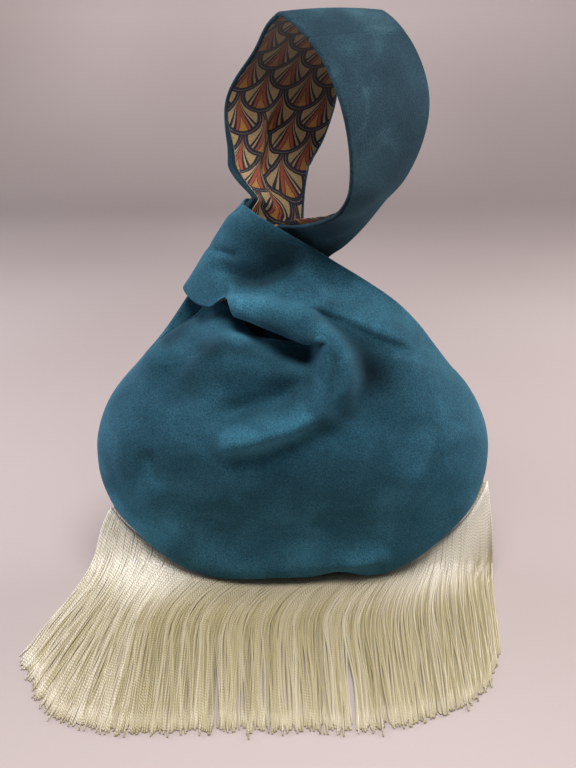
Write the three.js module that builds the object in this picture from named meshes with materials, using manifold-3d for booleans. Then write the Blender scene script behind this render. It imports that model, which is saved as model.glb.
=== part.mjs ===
import * as THREE from 'three';
import { mergeVertices } from 'three/addons/utils/BufferGeometryUtils.js';
import Module from 'manifold-3d';

const wasm = await Module();
wasm.setup();

// Driving dimensions of the bag, in millimetres and degrees
const BODY_WIDTH = 245;
const BODY_SHIFT = 3;
const BELLY_HEIGHT = 86;
const SEAM_BOTTOM = 6.5;
const SHOULDER_RISE = 88;
const SQUARENESS = 2.25;
const LEAN = 10;
const SEAM_FOOT_Y = -20;
const FRONT_DEPTH = 52;
const BACK_DEPTH = 54;
const MOUTH_DEPTH = 45;
const MOUTH_HEIGHT = 162;
const MOUTH_LEFT = 0.54;
const MOUTH_RIGHT = 0.58;
const SLIT_ANGLE = 36;
const BASE_SAG = 28;
const FRONT_SAG = 10;
const FRONT_CLEAR = 5;

// Cloth thicknesses and the clearances between layers
const VELVET = 1.4;
const LINING = 0.8;
const INTERFACING = 1.0;
const GAP = 0.5;
const PANEL_GAP = 0.9;
const SEAM_HALF_GAP = 0.8;
const LINING_INSET = 0.2;
const END_GAP = 1;

// The knot: where it sits, how its bore tips to the right, and the long handle inside it
const KNOT = new THREE.Vector3(-25, 13, 202);
const KNOT_TIP = 33;
const NECK_WIDTH = 34;
const NECK_SHIFT_FRONT = 12;
const NECK_SHIFT_BACK = -1;
const NECK_EDGE = 5;
const NECK_CROWN = 6;
const NECK_FOOT = -26;
const NECK_TOP = 34;

// The short handle that wraps the knot
const CUFF_WIDTH = 64;
const CUFF_FOLD = 24;
const CUFF_HALF_DEPTH = 19;
const FLAP_LIFT = 12;
const CUFF_BACK_DROP = 9;

// The loop of the long handle
const LOOP_RISE = 117;
const LOOP_SPAN = 100;
const LOOP_OFFSET = 24;
const LOOP_DRIFT = 20;
const LOOP_TURN = 53.5;
const LOOP_TAPER_FRONT = 1.25;
const LOOP_TAPER_BACK = 1.7;
const STRAP_WIDTH = 68;
const STRAP_CROWN = 3;
const JOIN_ANGLE = 53;
const JOIN_GAP = 1.4;

// The fringe and the threads
const FRINGE_LENGTH = 150;
const FRINGE_FROM = 204;
const FRINGE_TO = 348;
const CORD_RADIUS = 0.75;
const CORDS_PER_RUN = 36;
const TAPE_THICK = 1.0;
const TAPE_OUT = 3.4;
const HEADER_DEPTH = 2.2;
const THREAD_RADIUS = 0.4;

const { degToRad: rad, lerp: mix, smoothstep } = THREE.MathUtils;
const vec = (x, y, z) => new THREE.Vector3(x, y, z);
const span = (count) => Array.from({ length: count + 1 }, (_, i) => i / count);

// Seam plane: leans back from the foot line, with its normal pointing to the back
const BACKWARD = vec(0, Math.cos(rad(LEAN)), -Math.sin(rad(LEAN)));
const seamY = (z) => SEAM_FOOT_Y + z * Math.tan(rad(LEAN));
const offSeam = (p) => (p.y - SEAM_FOOT_Y) * BACKWARD.y + p.z * BACKWARD.z;

// Axes of the knot: along its bore, across it to the lower right, and the loop's own ring
const BORE = vec(Math.sin(rad(KNOT_TIP)), 0, Math.cos(rad(KNOT_TIP)));
const ACROSS = vec(Math.cos(rad(KNOT_TIP)), 0, -Math.sin(rad(KNOT_TIP)));
const RING_OUT = vec(Math.cos(rad(LOOP_TURN)), -Math.sin(rad(LOOP_TURN)), 0);
const RING_SIDE = vec(Math.sin(rad(LOOP_TURN)), Math.cos(rad(LOOP_TURN)), 0);

// Point of the seam at an angle: 0 right, 180 left, 270 bottom
function seamPoint(angle) {
  const c = Math.cos(rad(angle));
  const s = Math.sin(rad(angle));
  const power = 2 / SQUARENESS;
  const rise = s < 0 ? BELLY_HEIGHT - SEAM_BOTTOM : SHOULDER_RISE;
  const x = BODY_SHIFT + (BODY_WIDTH / 2) * Math.sign(c) * Math.abs(c) ** power;
  const z = BELLY_HEIGHT + rise * Math.sign(s) * Math.abs(s) ** power;
  return vec(x, seamY(z), z);
}

// Direction that leads out of the seam, in its plane
function seamOut(angle) {
  const along = seamPoint(angle + 0.5).sub(seamPoint(angle - 0.5));
  return along.cross(BACKWARD).normalize().negate();
}

// Line across the panel at the bottom of the mouth, in the seam plane
function mouthLine(u) {
  const left = seamPoint(180 - SLIT_ANGLE);
  const right = seamPoint(360 + SLIT_ANGLE);
  const z = mix(left.z, right.z, u) + (MOUTH_HEIGHT - left.z) * Math.sin(Math.PI * u);
  return vec(mix(left.x, right.x, u), seamY(z), z);
}

// Patch of the seam plane between the lower seam, the side seams and the mouth line
function planePoint(u, v) {
  const corner = (i, j) => (j ? mouthLine(i) : seamPoint(225 + 90 * i));
  const blend = vec(0, 0, 0);
  blend.addScaledVector(seamPoint(225 + 90 * u), 1 - v);
  blend.addScaledVector(mouthLine(u), v);
  blend.addScaledVector(seamPoint(mix(225, 180 - SLIT_ANGLE, v)), 1 - u);
  blend.addScaledVector(seamPoint(mix(315, 360 + SLIT_ANGLE, v)), u);
  blend.addScaledVector(corner(0, 0), -(1 - u) * (1 - v));
  blend.addScaledVector(corner(1, 0), -u * (1 - v));
  blend.addScaledVector(corner(0, 1), -(1 - u) * v);
  blend.addScaledVector(corner(1, 1), -u * v);
  return blend;
}

// Height of the inner face of the velvet where a panel is pressed flat underneath
const lowest = (side) => VELVET + (side < 0 ? FRONT_CLEAR : 0);

// Point of a filled panel: side -1 is the front, which sags over the fringe, 1 the back, on the table
function panelPoint(u, v, side) {
  const across = 1 - Math.abs(2 * u - 1) ** 2.4;
  const up = 1 - (1 - v) ** 2.6;
  const full = side < 0 ? FRONT_DEPTH : BACK_DEPTH;
  const depth = mix(full, MOUTH_DEPTH, smoothstep(v, 0.45, 1));
  const low = mix(0.45, 0.62, smoothstep(v, 0, 0.4));
  const bulge = SEAM_HALF_GAP + depth * across ** 0.62 * up ** low;
  const p = planePoint(u, v).addScaledVector(BACKWARD, side * bulge);
  const sag = smoothstep(v, 0, side < 0 ? 0.02 : 0.004) * (1 - smoothstep(v, 0.15, 0.5)) * across ** 0.6;
  p.z = Math.max(p.z - sag * (side < 0 ? FRONT_SAG : BASE_SAG), lowest(side));
  return p;
}

// Point given by its place along the bore, across it, and its depth to the back
function knotPoint(along, across, depth) {
  const p = KNOT.clone().addScaledVector(BORE, along).addScaledVector(ACROSS, across);
  p.y += depth;
  return p;
}

// Strand of the long handle inside the knot: s runs from -1 to 1 across the strap
function neckPoint(along, s, side) {
  const depth = NECK_EDGE + NECK_CROWN * (1 - s * s);
  const shift = side < 0 ? NECK_SHIFT_FRONT : NECK_SHIFT_BACK;
  return knotPoint(along, shift + (s * NECK_WIDTH) / 2, side * depth);
}

// Root of the long strap: from the left part of the mouth line up to the knot
function rootPoint(k, t, side) {
  const u = k * MOUTH_LEFT;
  const start = panelPoint(u, 1, side);
  const rise = panelPoint(u, 1, side).sub(panelPoint(u, 0.94, side)).normalize();
  const end = neckPoint(NECK_FOOT, 2 * k - 1, side);
  const reach = start.distanceTo(end);
  const path = new THREE.CubicBezierCurve3(
    start,
    start.clone().addScaledVector(rise, reach * 0.35 * (1 - 0.75 * k * k)),
    end.clone().addScaledVector(BORE, -reach * 0.35),
    end,
  );
  return path.getPoint(t);
}

// One edge-to-edge column of the short handle, from the front mouth line round to the back one
function cuffColumn(k) {
  const half = CUFF_WIDTH / 2;
  const row = (side) => {
    const shrink = side < 0 ? 1 : BACK_DEPTH / FRONT_DEPTH;
    const drop = side < 0 ? 0 : CUFF_BACK_DROP;
    const arch = 8 * Math.sin(Math.PI * k);
    const root = panelPoint(mix(MOUTH_RIGHT, 1, k), 1, side);
    const flap = CUFF_HALF_DEPTH + mix(FLAP_LIFT + 18, -3, k) + arch;
    const over = CUFF_HALF_DEPTH + mix(FLAP_LIFT, 2, k) + arch * 0.5;
    return [
      root,
      knotPoint(mix(-7, half - drop, k), mix(42, 88, k), side * flap * shrink),
      knotPoint(mix(-19, half + 2 - drop, k), mix(8, 34, k), side * over * shrink),
      knotPoint(mix(-half, half, k), -CUFF_FOLD * 0.55, side * CUFF_HALF_DEPTH * 0.86),
    ];
  };
  const fold = knotPoint(mix(-half - 1, half - 1, k), -CUFF_FOLD, 0);
  const points = [...row(-1), fold, ...row(1).reverse()];
  return new THREE.CatmullRomCurve3(points, false, 'centripetal');
}

// Loop of the long handle at a ring angle: 0 front, 90 top, 180 back; s runs across the strap
const LOOP_START = -82;
const LOOP_END = 238;
const LOOP_BASE = knotPoint(NECK_TOP, 0, 0);

function loopPoint(angle, s) {
  const c = Math.cos(rad(angle));
  const z = Math.sin(rad(angle));
  const ends = Math.min(smoothstep(angle, LOOP_START, -30), 1 - smoothstep(angle, 195, LOOP_END));
  const turn = rad(46 - 0.14 * angle);
  const half = mix(NECK_WIDTH, STRAP_WIDTH, ends) / 2;
  const taper = c > 0 ? LOOP_TAPER_FRONT : LOOP_TAPER_BACK;
  const reach = z > 0 ? Math.sign(c) * Math.abs(c) ** taper : c;
  const ring = LOOP_BASE.clone();
  ring.addScaledVector(RING_OUT, LOOP_OFFSET + (LOOP_SPAN / 2) * reach);
  ring.addScaledVector(RING_SIDE, LOOP_DRIFT * mix(0.4, 1, ends));
  ring.z += (LOOP_RISE / 2) * (1 + z);
  ring.addScaledVector(vec(Math.cos(turn), Math.sin(turn), 0), s * half);
  const outward = RING_OUT.clone().multiplyScalar(c).add(vec(0, 0, z));
  ring.addScaledVector(outward, STRAP_CROWN * (1 - s * s));
  const side = angle < 90 ? -1 : 1;
  const neck = neckPoint(NECK_TOP + END_GAP + 14 * ends, s, side);
  return neck.lerp(ring, smoothstep(ends, 0, 0.75));
}

// Rows of points of a patch; the order of the columns sets which way it faces
const patch = (us, vs, point) => vs.map((v) => us.map((u) => point(u, v)));

// Shared corner points of several patches, with triangles between them
function weld(patches) {
  const points = [];
  const faces = [];
  const seen = new Map();
  const idOf = (p) => {
    const key = p.toArray().map((c) => Math.round(c * 1e3)).join();
    if (!seen.has(key)) {
      seen.set(key, points.length);
      points.push(p);
    }
    return seen.get(key);
  };
  for (const rows of patches) {
    const ids = rows.map((row) => row.map(idOf));
    for (let i = 0; i + 1 < ids.length; i += 1) {
      for (let j = 0; j + 1 < ids[i].length; j += 1) {
        const [a, b] = [ids[i][j], ids[i][j + 1]];
        const [d, c] = [ids[i + 1][j], ids[i + 1][j + 1]];
        faces.push([a, b, c], [a, c, d]);
      }
    }
  }
  return { points, faces };
}

function solid(points, corners) {
  const geometry = new THREE.BufferGeometry();
  geometry.setAttribute('position', new THREE.Float32BufferAttribute(points.flatMap((p) => p.toArray()), 3));
  geometry.setIndex(corners);
  geometry.computeVertexNormals();
  return geometry;
}

// Cloth of even thickness between two offsets of a sheet, closed along its edges
function cloth(patches, inner, outer, keep = (p) => p) {
  const { points, faces } = weld(patches);
  const normals = points.map(() => vec(0, 0, 0));
  const edges = new Map();
  for (const face of faces) {
    const [a, b, c] = face.map((i) => points[i]);
    const normal = b.clone().sub(a).cross(c.clone().sub(a));
    face.forEach((i) => normals[i].add(normal));
    face.forEach((i, k) => {
      const j = face[(k + 1) % 3];
      if (!edges.delete(`${j} ${i}`)) edges.set(`${i} ${j}`, [i, j]);
    });
  }
  normals.forEach((n) => n.normalize());
  const layer = (d) => points.map((p, i) => keep(p.clone().addScaledVector(normals[i], d), d, p));
  const count = points.length;
  const corners = faces.flatMap(([a, b, c]) => [a, b, c, count + a, count + c, count + b]);
  for (const [i, j] of edges.values()) corners.push(j, i, count + i, j, count + i, count + j);
  return solid([...layer(outer), ...layer(inner)], corners);
}

// Round cord through points, with flat ends
function cord(points, radius, sides) {
  const rings = [];
  const up = vec(0, 0, 1);
  points.forEach((p, i) => {
    const before = points[Math.max(i - 1, 0)];
    const after = points[Math.min(i + 1, points.length - 1)];
    const along = after.clone().sub(before).normalize();
    const x = Math.abs(along.z) > 0.95 ? vec(0, -1, 0).cross(along) : up.clone().cross(along);
    x.normalize();
    const y = along.clone().cross(x);
    span(sides).slice(0, sides).forEach((k) => {
      const turn = 2 * Math.PI * k + Math.PI / 2;
      const ring = p.clone().addScaledVector(x, radius * Math.cos(turn));
      rings.push(ring.addScaledVector(y, radius * Math.sin(turn)));
    });
  });
  const corners = [];
  const last = (points.length - 1) * sides;
  for (let i = 0; i < last; i += sides) {
    for (let k = 0; k < sides; k += 1) {
      const [a, b] = [i + k, i + ((k + 1) % sides)];
      corners.push(a, b, b + sides, a, b + sides, a + sides);
    }
  }
  for (let k = 1; k + 1 < sides; k += 1) corners.push(0, k + 1, k, last, last + k, last + k + 1);
  return solid(rings, corners);
}

// Bar of rectangular section along the seam: out from the seam, and to either side of its plane
function seamBar(from, to, steps, near, far, half) {
  const rings = span(steps).map((q) => {
    const angle = mix(from, to, q);
    const out = seamOut(angle);
    const corner = (o, n) => seamPoint(angle).addScaledVector(out, o).addScaledVector(BACKWARD, n);
    return [corner(near, -half), corner(near, half), corner(far, half), corner(far, -half)];
  });
  const points = rings.flat();
  const corners = [];
  const last = steps * 4;
  for (let i = 0; i < last; i += 4) {
    for (let k = 0; k < 4; k += 1) {
      const [a, b] = [i + k, i + ((k + 1) % 4)];
      corners.push(a, b + 4, b, a, a + 4, b + 4);
    }
  }
  corners.push(0, 1, 2, 0, 2, 3, last, last + 2, last + 1, last, last + 3, last + 2);
  return solid(points, corners);
}

// Path of one fringe cord: out of the seam, down to the table and along it, cut to length
function cordPath(q, layer) {
  const angle = mix(FRINGE_FROM, FRINGE_TO, q);
  const out = seamOut(angle);
  const p = seamPoint(angle).addScaledVector(out, TAPE_OUT + GAP + HEADER_DEPTH / 2);
  p.addScaledVector(BACKWARD, layer ? -0.85 : 0.85);
  const floor = layer ? CORD_RADIUS * 3 + 0.2 : CORD_RADIUS + 0.05;
  const steps = 120;
  const step = FRINGE_LENGTH / steps;
  const keep = new Set([0, 6, 20, 52, steps]);
  const points = [];
  for (let i = 0; i <= steps; i += 1) {
    if (keep.has(i)) points.push(p.clone());
    const first = mix(20, 4, q ** 1.6);
    const later = mix(10, 0, smoothstep(q, 0, 0.45)) + 6 * q ** 4;
    const heading = rad(mix(first, later, smoothstep(i / steps, 0.05, 0.5)));
    const fall = rad(80 * smoothstep(p.z - floor, 0, 7));
    const flat = vec(-Math.sin(heading), -Math.cos(heading), 0).multiplyScalar(Math.cos(fall));
    const go = flat.add(vec(0, 0, -Math.sin(fall)));
    go.lerp(out, mix(0.75, 0.2, q) * smoothstep(p.z, 8, 40)).normalize();
    p.addScaledVector(go, step);
    p.z = Math.max(p.z, floor);
  }
  return points;
}

const toSolid = (geometry) => {
  const bare = geometry.clone();
  bare.deleteAttribute('normal');
  const merged = mergeVertices(bare, 1e-5);
  return new wasm.Manifold(new wasm.Mesh({
    numProp: 3,
    vertProperties: merged.attributes.position.array,
    triVerts: new Uint32Array(merged.index.array),
  }));
};

// A run of the fringe: its cords joined to their length of crocheted header edge
function fringeRun(from, to) {
  const angle = (q) => mix(FRINGE_FROM, FRINGE_TO, q);
  const near = TAPE_OUT + GAP;
  const margin = 0.3 / CORDS_PER_RUN;
  let run = toSolid(seamBar(angle(from + margin * 0.3), angle(to - margin * 0.3), 12, near, near + HEADER_DEPTH, 1.6));
  for (let i = 0; i < CORDS_PER_RUN; i += 1) {
    const q = mix(from, to, (i + 0.5) / CORDS_PER_RUN);
    run = run.add(toSolid(cord(cordPath(q, i % 2), CORD_RADIUS, 3)));
  }
  const mesh = run.getMesh();
  const geometry = new THREE.BufferGeometry();
  geometry.setAttribute('position', new THREE.Float32BufferAttribute(mesh.vertProperties, 3));
  geometry.setIndex(Array.from(mesh.triVerts));
  geometry.computeVertexNormals();
  return geometry;
}

// Sheets of the panels, straps and handles, each facing outward
const dense = span(11).map((v) => v ** 2.4);
const left = span(7);
const flip = (us, side) => (side < 0 ? us : [...us].reverse());
// A panel with the root of its long strap; the lining is drawn in a little from the seam
function panelSheets(side, inset) {
  const us = [...left.map((k) => k * MOUTH_LEFT), ...left.map((k) => mix(MOUTH_RIGHT, 1, k))];
  const body = patch(us, dense, (u, v) => panelPoint(u, v, side));
  const root = patch(left, span(5), (k, t) => rootPoint(k, t, side));
  body[0].forEach((p, j) => p.lerp(body[1][j], inset));
  for (const row of [...body, ...root]) row[0].lerp(row[1], inset);
  for (const row of body) row.at(-1).lerp(row.at(-2), inset);
  return [body, root].map((rows) => rows.map((row) => flip(row, side)));
}

function cuffSheets(side) {
  const columns = span(5).map(cuffColumn);
  const from = 0.009;
  const to = 0.496;
  const rows = span(12).map((t) => (side < 0 ? mix(from, to, t) : mix(1 - from, 1 - to, t)));
  return [rows.map((t) => (side < 0 ? columns : [...columns].reverse()).map((c) => c.getPoint(t)))];
}

const neckSheets = (side) => [
  patch(flip(span(6).map((k) => 2 * k - 1), side), span(2), (s, t) =>
    neckPoint(mix(NECK_FOOT + END_GAP, NECK_TOP, t), s, side)),
];

function loopSheets(side) {
  const gap = (JOIN_GAP / LOOP_RISE) * 57;
  const [from, to] = side < 0 ? [LOOP_START, JOIN_ANGLE - gap] : [JOIN_ANGLE + gap, LOOP_END];
  const angles = span(side < 0 ? 13 : 16).map((t) => mix(from, to, t));
  return [patch(span(4).map((k) => 2 * k - 1), angles, (s, angle) => loopPoint(angle, s))];
}

// Layers stay on their own side of the seam, and level where the panel is pressed flat
const onSide = (side) => (p, d, sheet) => {
  const off = offSeam(p) * side - SEAM_HALF_GAP;
  if (off < 0) p.addScaledVector(BACKWARD, -off * side);
  if (sheet.z < lowest(side) + 1e-6) p.z = lowest(side) - d;
  return p;
};

const VELVET_LOOK = { color: 0x2f6470, roughness: 0.95, metalness: 0 };
const LINING_LOOK = { color: 0xd8b27a, roughness: 0.8, metalness: 0 };
const FILLER_LOOK = { color: 0xe9e4d8, roughness: 0.9, metalness: 0 };
const FRINGE_LOOK = { color: 0xe2d8b4, roughness: 0.45, metalness: 0 };
const THREAD_LOOK = { color: 0x2a4a55, roughness: 0.8, metalness: 0 };

const bag = new THREE.Group();
const add = (name, geometry, look) => {
  const mesh = new THREE.Mesh(geometry, new THREE.MeshStandardMaterial(look));
  mesh.name = name;
  bag.add(mesh);
};

// Body, short handle and the long handle inside the knot
for (const [name, side] of [['front', -1], ['back', 1]]) {
  add(`outer_${name}_panel`, cloth(panelSheets(side, 0), 0, VELVET, onSide(side)), VELVET_LOOK);
  const inside = panelSheets(side, LINING_INSET);
  add(`lining_${name}_panel`, cloth(inside, -PANEL_GAP - LINING, -PANEL_GAP, onSide(side)), LINING_LOOK);
  add(`short_handle_${name}_outer`, cloth(cuffSheets(side), 0, VELVET), VELVET_LOOK);
  add(`short_handle_${name}_lining`, cloth(cuffSheets(side), -GAP - LINING, -GAP), LINING_LOOK);
  add(`neck_${name}_outer`, cloth(neckSheets(side), 0, VELVET), VELVET_LOOK);
  add(`neck_${name}_lining`, cloth(neckSheets(side), -GAP - LINING, -GAP), LINING_LOOK);
}

// Loop of the long handle, with its filler and the thread of its joining seam
for (const [name, side] of [['front', -1], ['back', 1]]) {
  const filler = -GAP - INTERFACING;
  add(`loop_${name}_outer`, cloth(loopSheets(side), 0, VELVET), VELVET_LOOK);
  add(`loop_${name}_interfacing`, cloth(loopSheets(side), filler, -GAP), FILLER_LOOK);
  add(`loop_${name}_lining`, cloth(loopSheets(side), filler - GAP - LINING, filler - GAP), LINING_LOOK);
}
const joinLine = span(6).map((k) => loopPoint(JOIN_ANGLE, mix(-0.98, 0.98, k)));
add('loop_join_seam', cord(joinLine, THREAD_RADIUS, 5), THREAD_LOOK);

// Header tape in the lower seam, side seam threads and the four runs of fringe
const steps = span(10);
add('fringe_header_tape', seamBar(FRINGE_FROM, FRINGE_TO, 28, -2, TAPE_OUT, TAPE_THICK / 2), FILLER_LOOK);
for (const [name, from, to] of [
  ['left', 180 - SLIT_ANGLE, FRINGE_FROM - 1],
  ['right', FRINGE_TO + 1, 360 + SLIT_ANGLE],
]) {
  const line = steps.map((k) => {
    const angle = mix(from, to, k);
    return seamPoint(angle).addScaledVector(seamOut(angle), 0.6);
  });
  add(`side_seam_${name}`, cord(line, THREAD_RADIUS, 5), THREAD_LOOK);
}
['left', 'centre_left', 'centre_right', 'right'].forEach((name, i) => {
  add(`fringe_${name}`, fringeRun(i / 4, (i + 1) / 4), FRINGE_LOOK);
});

export default bag;
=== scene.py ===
# %% [markdown]
# # A velvet knot bag with a long fringe
# The bag is two velvet panels sewn to a printed lining. Each panel runs up into a long strap and a short
# one. The long handle is pulled through the short one, which closes the bag. The script starts from the
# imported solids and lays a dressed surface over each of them.

import bpy
import numpy as np
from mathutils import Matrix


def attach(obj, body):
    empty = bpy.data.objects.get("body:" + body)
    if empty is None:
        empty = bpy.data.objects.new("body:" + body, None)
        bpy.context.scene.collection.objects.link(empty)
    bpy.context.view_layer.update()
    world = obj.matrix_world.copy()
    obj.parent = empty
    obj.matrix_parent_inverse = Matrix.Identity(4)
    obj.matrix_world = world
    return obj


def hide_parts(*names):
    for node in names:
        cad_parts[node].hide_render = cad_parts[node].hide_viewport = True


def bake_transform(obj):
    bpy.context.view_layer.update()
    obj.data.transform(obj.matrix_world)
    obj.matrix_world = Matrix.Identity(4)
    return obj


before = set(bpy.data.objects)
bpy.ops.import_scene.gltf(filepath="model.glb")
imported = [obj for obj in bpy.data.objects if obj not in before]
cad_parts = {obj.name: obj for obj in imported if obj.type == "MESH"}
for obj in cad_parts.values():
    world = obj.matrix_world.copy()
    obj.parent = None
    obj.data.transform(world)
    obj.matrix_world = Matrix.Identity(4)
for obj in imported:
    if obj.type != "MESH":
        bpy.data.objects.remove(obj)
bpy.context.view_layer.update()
print("frame loaded with", len(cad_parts), "solids")

# %% [markdown]
# ## The camera
# The picture was taken from a little above, looking down by 22 degrees. The distance and the lens were
# worked out from the width of the bag. All lengths below are in millimetres until a mesh is made.

# %% Camera
MM = 0.001
CAMERA_PLACE = np.array([0.0, -577.0, 362.0])
CAMERA_PITCH = np.radians(22)
FOCAL_PIXELS = 1000
FRAME_WIDTH = 576
FRAME_HEIGHT = 768
SENSOR_WIDTH = 36


def make_camera():
    """The lens gives the focal length in pixels over the longer side of the frame."""
    data = bpy.data.cameras.new("camera")
    data.sensor_width = SENSOR_WIDTH
    data.lens = SENSOR_WIDTH * FOCAL_PIXELS / FRAME_HEIGHT
    camera = bpy.data.objects.new("camera", data)
    camera.location = CAMERA_PLACE * MM
    camera.rotation_euler = (np.pi / 2 - CAMERA_PITCH, 0, 0)
    bpy.context.scene.collection.objects.link(camera)
    bpy.context.scene.camera = camera
    return camera


def in_picture(points):
    """Pixel of each point: focal length times its offset right and down, over its distance along the view."""
    d = points - CAMERA_PLACE
    c, s = np.cos(CAMERA_PITCH), np.sin(CAMERA_PITCH)
    away = d[..., 1] * c - d[..., 2] * s
    up = d[..., 1] * s + d[..., 2] * c
    x = FRAME_WIDTH / 2 + FOCAL_PIXELS * d[..., 0] / away
    y = FRAME_HEIGHT / 2 - FOCAL_PIXELS * up / away
    return np.stack([x, y], -1)


make_camera()
print("camera lens in mm:", round(bpy.context.scene.camera.data.lens, 2))

# %% [markdown]
# ## Curves of the pattern
# Both panels hang from one seam line, a rounded outline that leans back a little. Each panel is that
# outline, puffed out to its own side. The same formulas made the solids, so the cloth lies where they
# are.

# %% Small helpers
def mix(a, b, t):
    return a + (b - a) * t


def smooth(x, start, end):
    """Rises from 0 at start to 1 at end as 3t^2 - 2t^3."""
    t = np.clip((x - start) / (end - start), 0, 1)
    return t * t * (3 - 2 * t)


def unit(v):
    return v / np.maximum(np.linalg.norm(v, axis=-1, keepdims=True), 1e-9)


def tall(x):
    """Adds a last axis, so that a number per point multiplies a vector per point."""
    return np.asarray(x, float)[..., None]


def bell(x, centre, width):
    """exp(-((x - centre) / width)^2)."""
    return np.exp(-(((x - centre) / width) ** 2))


def run_along(path):
    """Length of a path from its start to each of its points."""
    return np.concatenate([[0], np.cumsum(np.linalg.norm(np.diff(path, axis=0), axis=1))])


# %% Seam line and panels
BODY_WIDTH, BODY_SHIFT, BELLY_HEIGHT = 245, 3, 86
SEAM_BOTTOM, SHOULDER_RISE, SQUARENESS, SHOULDER_SQUARENESS = 6.5, 88, 2.25, 1.97
SEAM_FOOT_Y, FRONT_DEPTH, BACK_DEPTH = -20, 52, 54
MOUTH_DEPTH, MOUTH_HEIGHT = 45, 162
MOUTH_LEFT, MOUTH_RIGHT, SLIT_ANGLE = 0.54, 0.58, 36
BASE_SAG, FRONT_SAG, FRONT_CLEAR, VELVET = 28, 10, 5, 1.4
LEAN = np.radians(10)
BACKWARD = np.array([0, np.cos(LEAN), -np.sin(LEAN)])
SEAM_HALF_GAP = 0.35
CORNER_LEFT, CORNER_RIGHT = 225, 315
PUFF_ACROSS, PUFF_UP, PUFF_POWER, PUFF_LOW = 2.4, 2.6, 0.62, 0.45
DEPTH_RANGE, LOW_RANGE, SAG_RANGE, SAG_POWER = (0.45, 1), (0, 0.4), (0.15, 0.5), 0.6
FRONT, BACK = -1, 1
SAG_START = {FRONT: 0.02, BACK: 0.004}


def seam_point(angle):
    """Rounded outline |x|^n + |z|^n = 1 in a leaning plane; 0 is right, 180 left, 270 the bottom."""
    c, s = np.cos(np.radians(angle)), np.sin(np.radians(angle))
    power = 2 / np.where(s < 0, SQUARENESS, SHOULDER_SQUARENESS)
    rise = np.where(s < 0, BELLY_HEIGHT - SEAM_BOTTOM, SHOULDER_RISE)
    x = BODY_SHIFT + BODY_WIDTH / 2 * np.sign(c) * np.abs(c) ** power
    z = BELLY_HEIGHT + rise * np.sign(s) * np.abs(s) ** power
    return np.stack([x, SEAM_FOOT_Y + z * np.tan(LEAN), z], -1)


def seam_out(angle):
    """Direction that leads out of the seam, in its plane."""
    return -unit(np.cross(seam_point(angle + 0.5) - seam_point(angle - 0.5), BACKWARD))


def mouth_line(u):
    """Line between the two side slits, raised in its middle by a half sine."""
    left, right = seam_point(180 - SLIT_ANGLE), seam_point(360 + SLIT_ANGLE)
    z = mix(left[2], right[2], u) + (MOUTH_HEIGHT - left[2]) * np.sin(np.pi * u)
    return np.stack([mix(left[0], right[0], u), SEAM_FOOT_Y + z * np.tan(LEAN), z], -1)


def plane_point(u, v):
    """Bottom seam blended into the mouth line, plus left side into right side, less the four corners."""
    bottom, top = seam_point(mix(CORNER_LEFT, CORNER_RIGHT, u)), mouth_line(u)
    left = seam_point(mix(CORNER_LEFT, 180 - SLIT_ANGLE, v))
    right = seam_point(mix(CORNER_RIGHT, 360 + SLIT_ANGLE, v))
    corners = [seam_point(CORNER_LEFT), seam_point(CORNER_RIGHT)]
    corners += [mouth_line(np.array(0.0)), mouth_line(np.array(1.0))]
    p = bottom * tall(1 - v) + top * tall(v) + left * tall(1 - u) + right * tall(u)
    p = p - corners[0] * tall((1 - u) * (1 - v)) - corners[1] * tall(u * (1 - v))
    return p - corners[2] * tall((1 - u) * v) - corners[3] * tall(u * v)


def panel_point(u, v, side):
    """Plane patch pushed out by depth * across^power * up^low, sagging below, and flat on the table."""
    across = 1 - np.abs(2 * u - 1) ** PUFF_ACROSS
    up = 1 - (1 - v) ** PUFF_UP
    depth = mix(FRONT_DEPTH if side < 0 else BACK_DEPTH, MOUTH_DEPTH, smooth(v, *DEPTH_RANGE))
    low = mix(PUFF_LOW, PUFF_POWER, smooth(v, *LOW_RANGE))
    bulge = SEAM_HALF_GAP + depth * across**PUFF_POWER * up**low
    p = plane_point(u, v) + BACKWARD * tall(side * bulge)
    sag = smooth(v, 0, SAG_START[side]) * (1 - smooth(v, *SAG_RANGE)) * across**SAG_POWER
    lowest = VELVET + (FRONT_CLEAR if side < 0 else 0)
    p[..., 2] = np.maximum(p[..., 2] - sag * (FRONT_SAG if side < 0 else BASE_SAG), lowest)
    return p


print("seam is", np.round(np.ptp(seam_point(np.arange(360)), axis=0)), "mm across, deep and high")

# %% The knot and the two handles
KNOT = np.array([-25.0, 13.0, 202.0])
KNOT_TIP = np.radians(33)
BORE = np.array([np.sin(KNOT_TIP), 0, np.cos(KNOT_TIP)])
ACROSS = np.array([np.cos(KNOT_TIP), 0, -np.sin(KNOT_TIP)])
NECK_WIDTH, NECK_EDGE, NECK_CROWN, NECK_FOOT, NECK_TOP = 34, 5, 6, -26, 34
NECK_SHIFT = {FRONT: 12, BACK: -1}
CUFF_WIDTH, CUFF_FOLD, CUFF_HALF_DEPTH, FLAP_LIFT, CUFF_BACK_DROP = 64, 24, 19, 12, 9
CUFF_ARCH, ROOT_PULL, ROOT_EASE = 8, 0.35, 0.75
FLAP_FOOT, FLAP_ACROSS, FLAP_RISE, FLAP_END = -7, (42, 88), 18, -3
OVER_FOOT, OVER_ACROSS, OVER_TOP, OVER_END = -19, (8, 34), 2, 2
TURN_ACROSS, TURN_DEPTH = 0.55, 0.86


def knot_point(along, across, depth):
    """Place along the bore of the knot, across it to the lower right, and to the back."""
    depth = np.asarray(depth, float)
    return KNOT + BORE * tall(along) + ACROSS * tall(across) + np.array([0, 1, 0]) * tall(depth)


def neck_point(along, s, side):
    """Strand of the long handle in the knot: a shallow arch across the strap, s from -1 to 1."""
    arch = side * (NECK_EDGE + NECK_CROWN * (1 - s * s))
    return knot_point(along, NECK_SHIFT[side] + s * NECK_WIDTH / 2, arch)


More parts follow.
